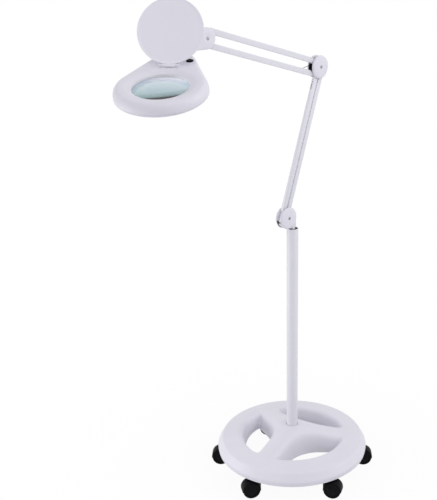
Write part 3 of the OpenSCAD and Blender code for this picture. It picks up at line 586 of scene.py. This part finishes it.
class LAMP_OT_base(LampOperator, bpy.types.Operator):
    """Moulds the base cover with its three kidney holes"""
    bl_idname = "lamp.base"
    bl_label = "Base cover"

    def execute(self, context):
        # Radius and height of the cage's rings: the hub, then the slope and the rim outside the holes
        hub = [(16.8, 129.0), (16.8, 133.2), (17.8, 134.2), (24.0, 133.6), (32.0, 132.0)]
        rim = [(160.0, 105.4), (178.0, 101.6), (192.0, 98.7), (202.0, 96.9), (208.2, 95.9), (211.0, 93.2),
               (213.4, 88.6), (218.0, 80.6), (222.2, 73.6), (222.9, 70.0), (221.2, 61.0), (220.8, 58.6)]
        fall = (hub[-1][1] - rim[0][1]) / (rim[0][0] - hub[-1][0])
        first_spoke, spoke_half, corner_round, ridge_drop = -46.5, 22.0, 118.0, 4.5
        # A hole's columns, close together towards its corners; a spoke has one more in its middle
        spread = [0, 0.1, 0.22, 0.36, 0.5, 0.64, 0.78, 0.9, 1]
        third = len(spread) + 1
        columns = 3 * third
        # A smoothed ring of this many points lies inside its corners
        grow = 6 / (4 + 2 * math.cos(2 * math.pi / columns))
        # From the pole to the round that joins two spokes beside a hole
        to_round = (spoke_half + corner_round) / math.sin(math.radians(60))
        along = to_round * math.cos(math.radians(60))

        def even_ring(radius):
            return [ray(2 * math.pi * k / columns) * radius * grow for k in range(columns)]

        def inner_edge():
            middle = ray(math.radians(60)) * to_round
            lobe = [Vector((along, 0))]
            lobe += [middle + ray(math.radians(270 - 60 * part)) * corner_round for part in spread]
            return [Matrix.Rotation(math.radians(120 * spoke), 2) @ p for spoke in range(3) for p in lobe]

        def outer_edge(radius):
            edge = math.asin(spoke_half / radius)
            turns = [0] + [edge + (math.radians(120) - 2 * edge) * part for part in spread]
            return [ray(turn + math.radians(120) * spoke) * radius for spoke in range(3) for turn in turns]

        def between(first, second, part):
            return [p.lerp(q, part) for p, q in zip(first, second)]

        def on_slope(point, drop):
            return (point.x, point.y, hub[-1][1] - (point.length - hub[-1][0]) * fall - drop)

        def raised(points, drop):
            """Lays points on the slope; all but the first column of each third lie lower by the drop."""
            return [on_slope(p, drop if k % third else 0) for k, p in enumerate(points)]

        last_hub, inner, outer = even_ring(hub[-1][0]), inner_edge(), outer_edge(rim[0][0])
        rows = [[(p.x, p.y, z) for p in even_ring(r)] for r, z in hub]
        rows.append(raised(between(last_hub, inner, 0.5), ridge_drop / 3))
        first_row = len(rows)
        rows += [raised(between(inner, outer, part), ridge_drop) for part in (0, 0.32, 0.64)]
        last_row = len(rows)
        rows.append([(p.x, p.y, rim[0][1]) for p in outer])
        rows += [[(p.x, p.y, z) for p in even_ring(r)] for r, z in rim[1:]]
        piece = lofted(rows)
        put(piece, rotation(first_spoke, "Z"))
        take_hold(piece)
        bpy.ops.object.mode_set(mode="EDIT")
        bpy.ops.mesh.select_mode(type="FACE")
        bpy.ops.mesh.select_all(action="DESELECT")
        mesh = bmesh.from_edit_mesh(piece.data)
        for face in mesh.faces:
            row, column = divmod(face.index, columns)
            face.select_set(first_row <= row < last_row and 1 <= column % third < third - 1)
        bmesh.update_edit_mesh(piece.data)
        # Each hole is one face, which is stepped inwards: its edge rolls over softly and narrows downwards
        bpy.ops.mesh.dissolve_faces()
        for inward, down in ((6, 3.5), (5.5, 9), (3.5, 15)):
            bpy.ops.mesh.inset(thickness=inward * MM, depth=0, use_boundary=True, use_even_offset=True)
            bpy.ops.transform.translate(value=(0, 0, -down * MM))
        for inward, level in ((2.5, 76), (1.5, 61), (0.3, 58.6)):
            bpy.ops.mesh.inset(thickness=inward * MM, depth=0, use_boundary=True, use_even_offset=True)
            bpy.ops.transform.resize(value=(1, 1, 0), center_override=(0, 0, level * MM))
        bpy.ops.mesh.delete(type="FACE")
        bpy.ops.mesh.select_all(action="SELECT")
        bpy.ops.mesh.normals_make_consistent(inside=False)
        bpy.ops.mesh.select_mode(type="VERT")
        bpy.ops.object.mode_set(mode="OBJECT")
        if max(piece.data.polygons, key=lambda face: face.center.z).normal.z < 0:
            bpy.ops.object.mode_set(mode="EDIT")
            bpy.ops.mesh.flip_normals()
            bpy.ops.object.mode_set(mode="OBJECT")
        modify(piece, "SUBSURF", levels=2, render_levels=2)
        modify(piece, "SOLIDIFY", thickness=3 * MM, offset=-1)
        dress(piece, "base_cover", "base", "white_plastic", "base_shell", angle=60)
        paint_nodes("cast_iron", "base_weight")
        paint_nodes("steel", "caster_sockets", "pole_bolt")
        return {"FINISHED"}


class LAMP_OT_pole(LampOperator, bpy.types.Operator):
    """Draws the pole with its bush and cable gland"""
    bl_idname = "lamp.pole"
    bl_label = "Pole"

    def execute(self, context):
        sizes = context.scene.lamp_sizes
        steps = sizes.smooth_steps
        outer = sizes.pole_radius / MM
        low, high = (corner.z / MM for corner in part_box("pole"))
        bore = outer - 1.5
        pole = turned([(bore, low), (outer, low), (outer, high - 0.7), (outer - 0.2, high - 0.2),
                       (outer - 0.6, high), (bore + 0.3, high), (bore, high - 0.4), (bore, low)], steps)
        dress(pole, "pole_tube", "base", "white_paint", "pole")
        low, high = (corner.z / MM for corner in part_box("pole_bush"))
        fit, stem = bore - 0.05, 7.05
        bush = turned([(stem, low), (fit, low), (fit, high - 0.8), (bore - 0.8, high), (8.2, high),
                       (stem, high - 1.2), (stem, low)], steps)
        dress(bush, "pole_mouth_bush", "base", "black_plastic", "pole_bush")
        soften("cable_gland", 0.5, "cable_inlet_gland", "base", "black_plastic")
        soften("shoulder_post", 0.6, "shoulder_stem", "shoulder", "white_paint")
        return {"FINISHED"}


class LAMP_OT_casters(LampOperator, bpy.types.Operator):
    """Moulds one hooded twin-wheel caster and sets six of them"""
    bl_idname = "lamp.casters"
    bl_label = "Casters"

    # From the stem back to the axle
    trail = 20

    def hood(self):
        axle_up, half, web_radius = 25, 16.4, 26.3
        # The fender starts behind the axle and a little below it, and runs over the wheels, in degrees
        start, sweep, steps = -8, 196, 40

        def around(radius, degrees, across):
            angle = math.radians(degrees)
            return (self.trail + radius * math.cos(angle), across, axle_up + radius * math.sin(angle))

        # Section of the fender across the wheels: radius and sideways place
        section = [(25.6, -half + 0.8), (25.5, 0), (25.6, half - 0.8), (25.5, half), (25.9, half - 0.1),
                   (26.4, half - 1.0), (26.8, half - 2.6), (27.0, 0), (26.8, -half + 2.6),
                   (26.4, -half + 1.0), (25.9, -half + 0.1), (25.5, -half)]
        rings = [[around(r, start + sweep * k / steps, y) for r, y in section] for k in range(steps + 1)]
        ends = [[around(web_radius, degrees, 0)] * len(section) for degrees in (start, start + sweep)]
        fender = lofted([ends[0]] + rings + [ends[1]])
        arc = [(web_radius * math.cos(a), web_radius * math.sin(a))
               for a in map(math.radians, range(-18, 199, 6))]
        web = round_edges(slab(arc, -3.0, 3.0), 0.6)
        put(web, shift(self.trail, 0, axle_up) @ rotation(90, "X"))
        boss = turned([(0, 41), (10.2, 41), (11.4, 44), (11.5, 54), (11.0, 56.4), (9.6, 57.6), (5.5, 57.6),
                       (5.5, 80.2), (4.6, 81.2), (0, 81.2)], 48)
        neck = round_edges(slab([(-9, -3.1), (16, -3.1), (16, 3.1), (-9, 3.1)], 22, 44), 1.0)
        return joined([fender, web, boss, neck])

    def wheels(self, radius):
        side = [(0, 3.6), (radius - 3.0, 3.6), (radius - 1.2, 4.0), (radius - 0.3, 5.0), (radius, 6.6),
                (radius, 14.6), (radius - 0.5, 16.4), (radius - 1.7, 17.7), (radius - 3.4, 18.3),
                (radius - 5.0, 18.5), (radius - 5.6, 17.9), (radius - 6.0, 16.4), (radius - 8.5, 16.0),
                (radius - 12.5, 16.6), (radius - 13.6, 17.8), (radius - 16, 18.3), (radius - 20, 18.5),
                (0, 18.5)]
        one = turned(side, 64)
        split_finish(one, "caster_rubber", "caster_plastic",
                     lambda face: face.center.xy.length < (radius - 3.2) * MM)
        other = put(twin(one), rotation(180, "X"))
        axle = turned([(0, -4.5), (3, -4.5), (3, 4.5), (0, 4.5)], 24)
        return put(joined([one, other, axle]), shift(self.trail, 0, radius) @ rotation(-90, "X"))

    def execute(self, context):
        hood = self.hood()
        wheels = self.wheels(context.scene.lamp_sizes.wheel_radius / MM)
        for k in range(1, 7):
            stem = joint_point(f"caster_{k}_swivel")
            axle = joint_point(f"caster_{k}_roll")
            turn = math.atan2(axle.y - stem.y, axle.x - stem.x)
            place = Matrix.Translation((stem.x, stem.y, 0)) @ Matrix.Rotation(turn, 4, "Z")
            dress(put(twin(hood), place), f"caster_{k}_fender", f"caster_{k}", "caster_plastic",
                  f"caster_{k}_hood")
            dress(put(twin(wheels), place), f"caster_{k}_twin_wheels", f"wheels_{k}", "caster_rubber",
                  f"caster_{k}_wheels")
        bpy.data.objects.remove(hood)
        bpy.data.objects.remove(wheels)
        return {"FINISHED"}


class LAMP_OT_covers(LampOperator, bpy.types.Operator):
    """Turns the round covers and the partly black plates of the shoulder and the elbow"""
    bl_idname = "lamp.covers"
    bl_label = "Arm covers"

    def execute(self, context):
        sizes = context.scene.lamp_sizes
        rim, top = sizes.cover_radius / MM, sizes.cover_height / MM
        profile = [(2.6, 0), (rim - 0.3, 0), (rim, 0.4), (rim, 1.6), (rim - 0.35, 2.9), (rim - 1.3, 4.1),
                   (rim - 2.9, 5.0), (rim - 6, 5.6), (rim - 14, 6.2), (6.0, top), (4.9, top - 0.1),
                   (4.4, top - 0.5), (4.3, top - 2.0), (2.6, top - 2.0), (2.6, 0)]
        cover = turned(profile, sizes.smooth_steps)
        disc = turned([(0, 0), (rim - 1.4, 0), (rim - 1, 0.4), (rim - 1, 1.6), (rim - 1.4, 2.0), (0, 2.0)],
                      sizes.smooth_steps)
        plate_in, plate_out = 5.0, 7.0
        # The part of the plates that is black, from and to an angle above the line to the head
        for name, joint, black_from, black_to in (("shoulder", "lower_link_b_turn", -62, -8),
                                                  ("elbow", "elbow_level", -24, 24)):
            point = joint_point(joint)
            plates = []
            for word, side in (("front", -1), ("rear", 1)):
                dress(put(twin(cover), side_frame(point, side, plate_out)), f"{name}_{word}_dome", name,
                      "white_plastic", f"{name}_cover_{word}")
                plates.append(put(twin(disc), side_frame(point, side, plate_in)))

            def is_black(face):
                way = math.degrees(math.atan2(face.center.z - point.z, point.x - face.center.x))
                return black_from < way < black_to

            both = joined(plates)
            split_finish(both, "white_paint", "black_paint", is_black)
            dress(both, f"{name}_side_plates", name, "black_paint", f"{name}_plates")
            soften(f"{name}_pins", 0.2, f"{name}_screws", name, "steel")
        bpy.data.objects.remove(cover)
        bpy.data.objects.remove(disc)
        return {"FINISHED"}


class LAMP_OT_arms(LampOperator, bpy.types.Operator):
    """Finishes the link tubes, their lugs and the balance springs"""
    bl_idname = "lamp.arms"
    bl_label = "Arm tubes"

    def execute(self, context):
        for arm, links in (("lower", "ab"), ("upper", "cd")):
            for link in links:
                body = f"{arm}_link_{link}"
                soften(f"{arm}_tube_{link}", 0.25, f"{arm}_link_tube_{link}", body, "white_paint", 60)
                soften(f"{arm}_ends_{link}", 0.3, f"{arm}_link_lugs_{link}", body, "white_paint", 60)
        paint_nodes("spring_steel", "lower_spring", "upper_spring")
        return {"FINISHED"}


class LAMP_OT_wrist(LampOperator, bpy.types.Operator):
    """Moulds the wrist covers and finishes the block and knuckle that carry the head"""
    bl_idname = "lamp.wrist"
    bl_label = "Wrist"

    def execute(self, context):
        sizes = context.scene.lamp_sizes
        radius, length = sizes.wrist_radius / MM, sizes.wrist_length / MM
        centre = joint_point("wrist_level") + Vector((-12, 0, -17.5)) * MM
        # Two circles of nearly the same radius
        outline = (radius, radius - 0.001, length)
        angles = pear_angles(*outline, 96)
        cover = lofted(
            round_rings(angles, [(2.6, 0)])
            + pear_rings(angles, *outline, [(0.4, 0), (0, 0.4), (0, 2.6), (0.3, 4.0), (1.1, 5.2), (2.4, 6.1),
                                            (4.2, 6.5)])
            + round_rings(angles, [(12, 6.5), (5.2, 6.5), (4.6, 6.3), (4.3, 5.8), (4.3, 4.5), (2.6, 4.5),
                                   (2.6, 0)]))
        plate = lofted(
            round_rings(angles, [(0.0, 0)])
            + pear_rings(angles, *outline, [(1.4, 0), (1.0, 0.4), (1.0, 1.6), (1.4, 2.0)])
            + round_rings(angles, [(0.0, 2.0)]))
        plate_in, plate_out = 5.0, 7.0
        # The covers run towards the head, which is -X
        ahead = rotation(180, "Z")
        plates = []
        for word, side in (("front", -1), ("rear", 1)):
            dress(put(twin(cover), side_frame(centre, side, plate_out) @ ahead), f"wrist_{word}_shell",
                  "wrist", "white_plastic", f"wrist_cover_{word}")
            plates.append(put(twin(plate), side_frame(centre, side, plate_in) @ ahead))
        dress(joined(plates), "wrist_side_plates", "wrist", "white_paint", "wrist_plates")
        bpy.data.objects.remove(cover)
        bpy.data.objects.remove(plate)
        soften("wrist_pins", 0.2, "wrist_screws", "wrist", "steel")
        soften("wrist_block", 1.0, "wrist_carrier", "wrist", "white_paint")
        soften("head_knuckle", 0.8, "head_swivel_knuckle", "knuckle", "white_paint")
        soften("tilt_pin", 0.4, "tilt_axle", "knuckle", "steel")
        soften("head_lug", 1.0, "head_carrier_lug", "head", "white_paint")
        return {"FINISHED"}


class LAMP_OT_head(LampOperator, bpy.types.Operator):
    """Moulds the pear-shaped head in an upper and a lower shell"""
    bl_idname = "lamp.head"
    bl_label = "Head shells"

    outline = (HEAD_FRONT, HEAD_REAR, HEAD_LENGTH)

    def upper(self, angles):
        lip_and_dish = [(62.5, -6), (62.5, -0.8), (62.9, -0.1), (64, 0.6), (67, 1.9), (71, 3.6), (74.5, 4.9),
                        (77.5, 5.65), (80.5, 5.95)]
        # Outside from the crown down, then up again on the inside
        crown_and_flank = [(15, 6.0), (11.5, 5.9), (9, 5.2), (6.8, 3.9), (4.8, 2.0), (3.1, -0.4), (1.7, -3.2),
                           (0.7, -6.4), (0.15, -10), (0, -13.5), (0, -17.4), (0.3, -17.9), (0.8, -18),
                           (2.2, -18), (2.5, -17.6), (2.5, -9.5), (11.5, 3.0), (13, 3.5)]
        ceiling_and_collar = [(81.5, 3.5), (75, 1.0), (67, -5.2), (66.3, -7), (66.3, -18), (63.6, -18),
                              (63.6, -6), (62.5, -6)]
        return lofted(round_rings(angles, lip_and_dish) + pear_rings(angles, *self.outline, crown_and_flank)
                      + round_rings(angles, ceiling_and_collar))

    def ears(self):
        # Two ears carry the lid's pin, and their rear ramps stop the open lid. A low apron hugs the barrel's
        # foot, with a short drain slot behind a sill in its middle
        ramp = [(-4, -4.7), (-4, 0), (-3.46, 2.0), (-2, 3.46), (0, 4.0), (2, 3.46), (3.46, 2.0), (3.7, 1.5),
                (10.3, 9.7), (10.8, 9.9), (10.9, 9.4), (10.9, -4.7)]
        apron = [(-8.5, -4.8), (-8.5, -4.2), (-6.5, -3.3), (-4.8, -2.6), (-2.72, -2.6), (-2.0, -3.18),
                 (-1.0, -3.62), (0, -3.76), (0, -4.8)]
        sill = [(-8.5, -4.8), (-8.5, -4.2), (-6.5, -3.3), (-5.4, -3.1), (-5.0, -4.8)]
        place = shift(HINGE_BACK, 0, HINGE_UP) @ rotation(90, "X") @ Matrix.Scale(-1, 4, (0, 0, 1))
        # Each outline with its start across the head and its width
        rows = ((ramp, 16.3, 6), (ramp, -22.3, 6), (apron, -16.2, 10.2), (sill, -6, 12), (apron, 6, 10.2))
        return [put(round_edges(slab(outline, low, low + width), 0.7), place) for outline, low, width in rows]

    def lower(self, angles):
        outside = [(2.9, -18.3), (0.9, -18.3), (0.6, -18.6), (0.8, -19.4), (2.0, -20.9), (4.4, -22.8),
                   (7.6, -24.8), (10.4, -26.1), (12.6, -26.7), (14.6, -26.8)]
        mouth = [(79.0, -26.8), (78.5, -26.4), (78.5, -24.3)]
        inside = [(14.6, -24.3), (3.4, -19.2), (2.9, -18.3)]
        bowl = lofted(pear_rings(angles, *self.outline, outside) + round_rings(angles, mouth)
                      + pear_rings(angles, *self.outline, inside))
        collar = turned([(63.5, -26.8), (70.2, -26.8), (70.8, -26.3), (70.8, -24.3), (66.3, -24.3),
                         (66.3, -18.3), (63.5, -18.3), (63.5, -26.8)], 120)
        ribs = []
        for k in range(6):
            rib = round_edges(slab([(69.5, -1.5), (80, -1.5), (80, 1.5), (69.5, 1.5)], -26.7, -24.3), 0.4)
            ribs.append(put(rib, rotation(60 * k + 30, "Z")))
        return joined([bowl, collar] + ribs)

    def execute(self, context):
        angles = pear_angles(*self.outline, 144)
        upper = self.upper(angles)
        tool = turned([(0, -17), (8.02, -17), (8.02, 20), (0, 20)], 48)
        cut(upper, put(tool, shift(SWITCH_BACK, SWITCH_SIDE, 0)))
        upper = joined([upper] + self.ears())

        # The collar's faces take the lighter white with its painted glow
        def is_collar(face):
            return face.center.xy.length < COLLAR_RADIUS * MM and face.center.z < COLLAR_TOP * MM

        for shell, name, node in ((upper, "head_upper_shell", "head_top"),
                                  (self.lower(angles), "head_lower_shell", "head_bottom")):
            split_finish(shell, "white_plastic", "collar_plastic_painted_light", is_collar)
            dress(put(shell, head_frame()), name, "head", "white_plastic", node, angle=42)
        paint_nodes("steel", "head_screws", "lid_pin")
        paint_nodes("board", "driver", "led_board")
        paint_nodes("led", "leds")
        paint_nodes("diffuser", "diffuser")
        return {"FINISHED"}


class LAMP_OT_lens(LampOperator, bpy.types.Operator):
    """Grinds the lens and sets its retaining ring"""
    bl_idname = "lamp.lens"
    bl_label = "Lens"

    def execute(self, context):
        sizes = context.scene.lamp_sizes
        rim, curve = sizes.lens_radius / MM, sizes.lens_curve / MM
        middle, half_edge = -8.3, 2.0
        face_rim = rim - 1.2
        bulge = math.sqrt(curve ** 2 - face_rim ** 2)
        radii = [face_rim * k / 24 for k in range(25)]
        upper = [(r, middle + half_edge + math.sqrt(curve ** 2 - r ** 2) - bulge) for r in radii]
        lower = [(r, 2 * middle - z) for r, z in reversed(upper)]
        profile = upper + [(rim - 0.3, middle + half_edge), (rim, middle + half_edge - 0.3),
                           (rim, middle - half_edge + 0.3), (rim - 0.3, middle - half_edge)] + lower
        lens = turned(profile, 144)
        # From 0 at the lens's rear edge to 1 at its front edge; it places the painted reflection of the glass
        # and the painted shade of its edge
        ahead = lens.data.attributes.new("ahead", "FLOAT", "POINT")
        for vertex in lens.data.vertices:
            ahead.data[vertex.index].value = 0.5 - vertex.co.x / (2 * rim * MM)
        split_finish(lens, "lens_glass", "lens_edge", lambda face: face.center.xy.length > (rim - 0.6) * MM)
        dress(put(lens, head_frame()), "magnifying_lens", "head", "lens_glass", "lens", angle=50)
        # Light falls through the lens on the collar below it
        lens.visible_shadow = False
        low, high = -13.6, -10.6
        ring = turned([(62.5, low + 0.4), (62.9, low), (63.3, low), (63.4, low + 0.2), (63.4, high),
                       (62.9, high), (62.5, high - 0.4), (62.5, low + 0.4)], 120)
        # The ring takes the collar's lighter white and painted glow
        ring.data.materials.append(FINISHES["collar_plastic_painted_light"])
        dress(put(ring, head_frame()), "lens_retainer", "head", "white_plastic", "lens_ring")
        return {"FINISHED"}


class LAMP_OT_lid(LampOperator, bpy.types.Operator):
    """Moulds the lens lid with its hinge barrel"""
    bl_idname = "lamp.lid"
    bl_label = "Lens lid"

    def execute(self, context):
        rim = context.scene.lamp_sizes.lid_radius / MM
        top = 1.5
        # Closed lid: a flat plate whose underside runs softly into a low rim
        profile = [(0, top), (rim - 12, top), (rim - 4, top - 0.15), (rim - 1.6, top - 0.5),
                   (rim - 0.5, top - 1.1), (rim, top - 2.0), (rim, top - 3.2), (rim - 0.4, top - 3.7),
                   (rim - 1.4, top - 3.7), (rim - 2.6, top - 3.3), (rim - 4.4, top - 2.7),
                   (rim - 7, top - 2.5), (0, top - 2.5)]
        dish = put(turned(profile, 144), shift(-3 - rim, 0, 0))
        barrel = turned([(1.55, -16), (3.2, -16), (3.5, -15.6), (3.5, 15.6), (3.2, 16), (1.55, 16),
                         (1.55, -16)], 40)
        put(barrel, rotation(90, "X"))
        tab = slab([(-11, -15.9), (-1.8, -15.9), (-1.8, 15.9), (-11, 15.9)], top - 2.45, top - 0.05)
        lid = joined([dish, barrel, round_edges(tab, 0.5)])
        # The lid takes the white moulding painted lighter: painted light
        lid.data.materials.append(FINISHES["painted_light_plastic"])
        place = head_frame() @ shift(HINGE_BACK, 0, HINGE_UP) @ rotation(LID_OPEN, "Y")
        dress(put(lid, place), "lens_lid", "lid", "white_plastic", "lid", angle=42)
        return {"FINISHED"}


class LAMP_OT_switch(LampOperator, bpy.types.Operator):
    """Moulds the push switch: a bezel with its sleeve, and the button"""
    bl_idname = "lamp.switch"
    bl_label = "Switch"

    def execute(self, context):
        place = head_frame() @ shift(SWITCH_BACK, SWITCH_SIDE, CROWN)
        sleeve = turned([(0, -10.3), (7.9, -10.3), (8, -10), (8, 0), (8.6, 0), (8.7, 0.3), (8.5, 0.8),
                         (7.9, 1.15), (7.2, 1.2), (6.85, 0.9), (6.8, 0.5), (6.8, -7.3), (0, -7.3)], 64)
        dress(put(sleeve, place), "switch_bezel", "head", "black_plastic", "switch_body")
        button = turned([(0, -5.5), (6.4, -5.5), (6.5, -5.3), (6.5, 1.5), (6.2, 2.1), (5.6, 2.4), (4.6, 2.5),
                         (3.6, 2.3), (0, 2.05)], 64)
        dress(put(button, place), "push_button", "switch_button", "black_plastic", "switch_button")
        return {"FINISHED"}


class LAMP_OT_stage(LampOperator, bpy.types.Operator):
    """Sets the floor, the soft lights, the white surroundings and the camera"""
    bl_idname = "lamp.stage"
    bl_label = "Stage"

    def backdrop_rays(self, tree):
        """1 for the rays that see the surroundings, 0 for those that light the lamp."""
        path = add_node(tree, "ShaderNodeLightPath").outputs
        largest = {"operation": "MAXIMUM"}
        first = add_node(tree, "ShaderNodeMath", largest,
                         {0: path["Is Camera Ray"], 1: path["Is Glossy Ray"]})
        second = add_node(tree, "ShaderNodeMath", largest,
                          {0: first.outputs[0], 1: path["Is Transmission Ray"]})
        return second.outputs[0]

    def floor(self, colour):
        clear_selection()
        bpy.ops.mesh.primitive_circle_add(vertices=96, radius=40, fill_type="NGON")
        floor = bpy.context.object
        floor.name = "studio_floor"
        made = bpy.data.materials.new("studio_floor")
        made.use_nodes = True
        tree = made.node_tree
        tree.nodes.clear()
        matt = add_node(tree, "ShaderNodeBsdfDiffuse", {"Color": (*colour, 1)})
        glow = add_node(tree, "ShaderNodeEmission", {"Color": (1, 1, 1, 1), "Strength": 1.0})
        # The glow hides all but a faint shadow near the lamp, and all of the floor further out
        place = add_node(tree, "ShaderNodeTexCoord")
        distance = add_node(tree, "ShaderNodeVectorMath", {"operation": "LENGTH"},
                            {"Vector": place.outputs["Object"]})
        cover = add_node(tree, "ShaderNodeMapRange",
                         {"From Min": 0.25, "From Max": 0.8, "To Min": 0.95, "To Max": 1.0},
                         {"Value": distance.outputs["Value"]})
        share = add_node(tree, "ShaderNodeMath", {"operation": "MULTIPLY"},
                         {0: self.backdrop_rays(tree), 1: cover.outputs["Result"]})
        mix = add_node(tree, "ShaderNodeMixShader", None,
                       {0: share.outputs[0], 1: matt.outputs[0], 2: glow.outputs[0]})
        add_node(tree, "ShaderNodeOutputMaterial", None, {"Surface": mix.outputs[0]})
        floor.data.materials.append(made)

    def surroundings(self):
        world = bpy.data.worlds.new("white_studio")
        bpy.context.scene.world = world
        world.use_nodes = True
        tree = world.node_tree
        tree.nodes.clear()
        dim = add_node(tree, "ShaderNodeBackground", {"Color": (0.96, 0.965, 1.0, 1), "Strength": 0.72})
        white = add_node(tree, "ShaderNodeBackground", {"Color": (1, 1, 1, 1), "Strength": 1.0})
        mix = add_node(tree, "ShaderNodeMixShader", None,
                       {0: self.backdrop_rays(tree), 1: dim.outputs[0], 2: white.outputs[0]})
        add_node(tree, "ShaderNodeOutputWorld", None, {"Surface": mix.outputs[0]})

    def soft_light(self, name, place, aim, size, power):
        lamp = bpy.data.lights.new(name, "AREA")
        lamp.shape = "DISK"
        lamp.size = size
        lamp.energy = power
        made = bpy.data.objects.new(name, lamp)
        bpy.context.scene.collection.objects.link(made)
        made.location = place
        made.rotation_euler = (Vector(aim) - Vector(place)).to_track_quat("-Z", "Y").to_euler()

    def camera(self):
        # Lens and stand of the photograph: focal length and image centre in pixels of a 437 x 500 frame
        width, focal, centre_x = 437, 888.91, 292.4644
        pitch, azimuth, roll = (math.radians(a) for a in (19.2833, -46.4678, 0.1265))
        distance, height = 2.352, 1.5082
        view = bpy.data.cameras.new("photo_camera")
        view.sensor_fit = "HORIZONTAL"
        view.sensor_width = 36
        view.lens = 36 * focal / width
        view.shift_x = -(centre_x - width / 2) / width
        view.clip_end = 200
        made = bpy.data.objects.new("photo_camera", view)
        bpy.context.scene.collection.objects.link(made)
        place = Vector((math.sin(azimuth), -math.cos(azimuth), 0)) * distance + Vector((0, 0, height))
        made.matrix_world = (Matrix.Translation(place) @ Matrix.Rotation(azimuth, 4, "Z")
                             @ Matrix.Rotation(math.pi / 2 - pitch, 4, "X") @ Matrix.Rotation(roll, 4, "Z"))
        bpy.context.scene.camera = made

    def execute(self, context):
        self.floor(tuple(context.scene.lamp_colours.floor))
        self.surroundings()
        self.soft_light("right_light", (1.45, -2.1, 2.0), (-0.2, 0, 0.8), 1.6, 19)
        self.soft_light("left_light", (-1.6, 1.2, 0.35), (0, 0, 0.35), 0.9, 10)
        self.soft_light("front_light", (-1.5, -1.4, 3.2), (-0.2, 0, 0.8), 2.0, 8)
        self.camera()
        context.scene.view_settings.view_transform = "Standard"
        return {"FINISHED"}


class LAMP_PT_panel(bpy.types.Panel):
    """Lists the lamp's pieces in the sidebar"""
    bl_idname = "LAMP_PT_panel"
    bl_label = "Magnifying lamp"
    bl_space_type = "VIEW_3D"
    bl_region_type = "UI"
    bl_category = "Lamp"

    def draw(self, context):
        for piece in PIECES:
            self.layout.operator(piece.bl_idname)
        for group in (context.scene.lamp_sizes, context.scene.lamp_colours):
            for name in group.__annotations__:
                self.layout.prop(group, name)


PIECES = (LAMP_OT_stage, LAMP_OT_base, LAMP_OT_pole, LAMP_OT_casters, LAMP_OT_covers, LAMP_OT_arms,
          LAMP_OT_wrist, LAMP_OT_head, LAMP_OT_lens, LAMP_OT_lid, LAMP_OT_switch)
CLASSES = (LampSizes, LampColours) + PIECES + (LAMP_PT_panel,)


def register():
    for item in CLASSES:
        bpy.utils.register_class(item)
    bpy.types.Scene.lamp_sizes = PointerProperty(type=LampSizes)
    bpy.types.Scene.lamp_colours = PointerProperty(type=LampColours)


def unregister():
    del bpy.types.Scene.lamp_colours
    del bpy.types.Scene.lamp_sizes
    for item in reversed(CLASSES):
        bpy.utils.unregister_class(item)


def main():
    register()
    make_finishes(bpy.context.scene.lamp_colours)
    for piece in PIECES:
        group, name = piece.bl_idname.split(".")
        getattr(getattr(bpy.ops, group), name)()
    bpy.context.view_layer.update()


if __name__ == "__main__":
    main()
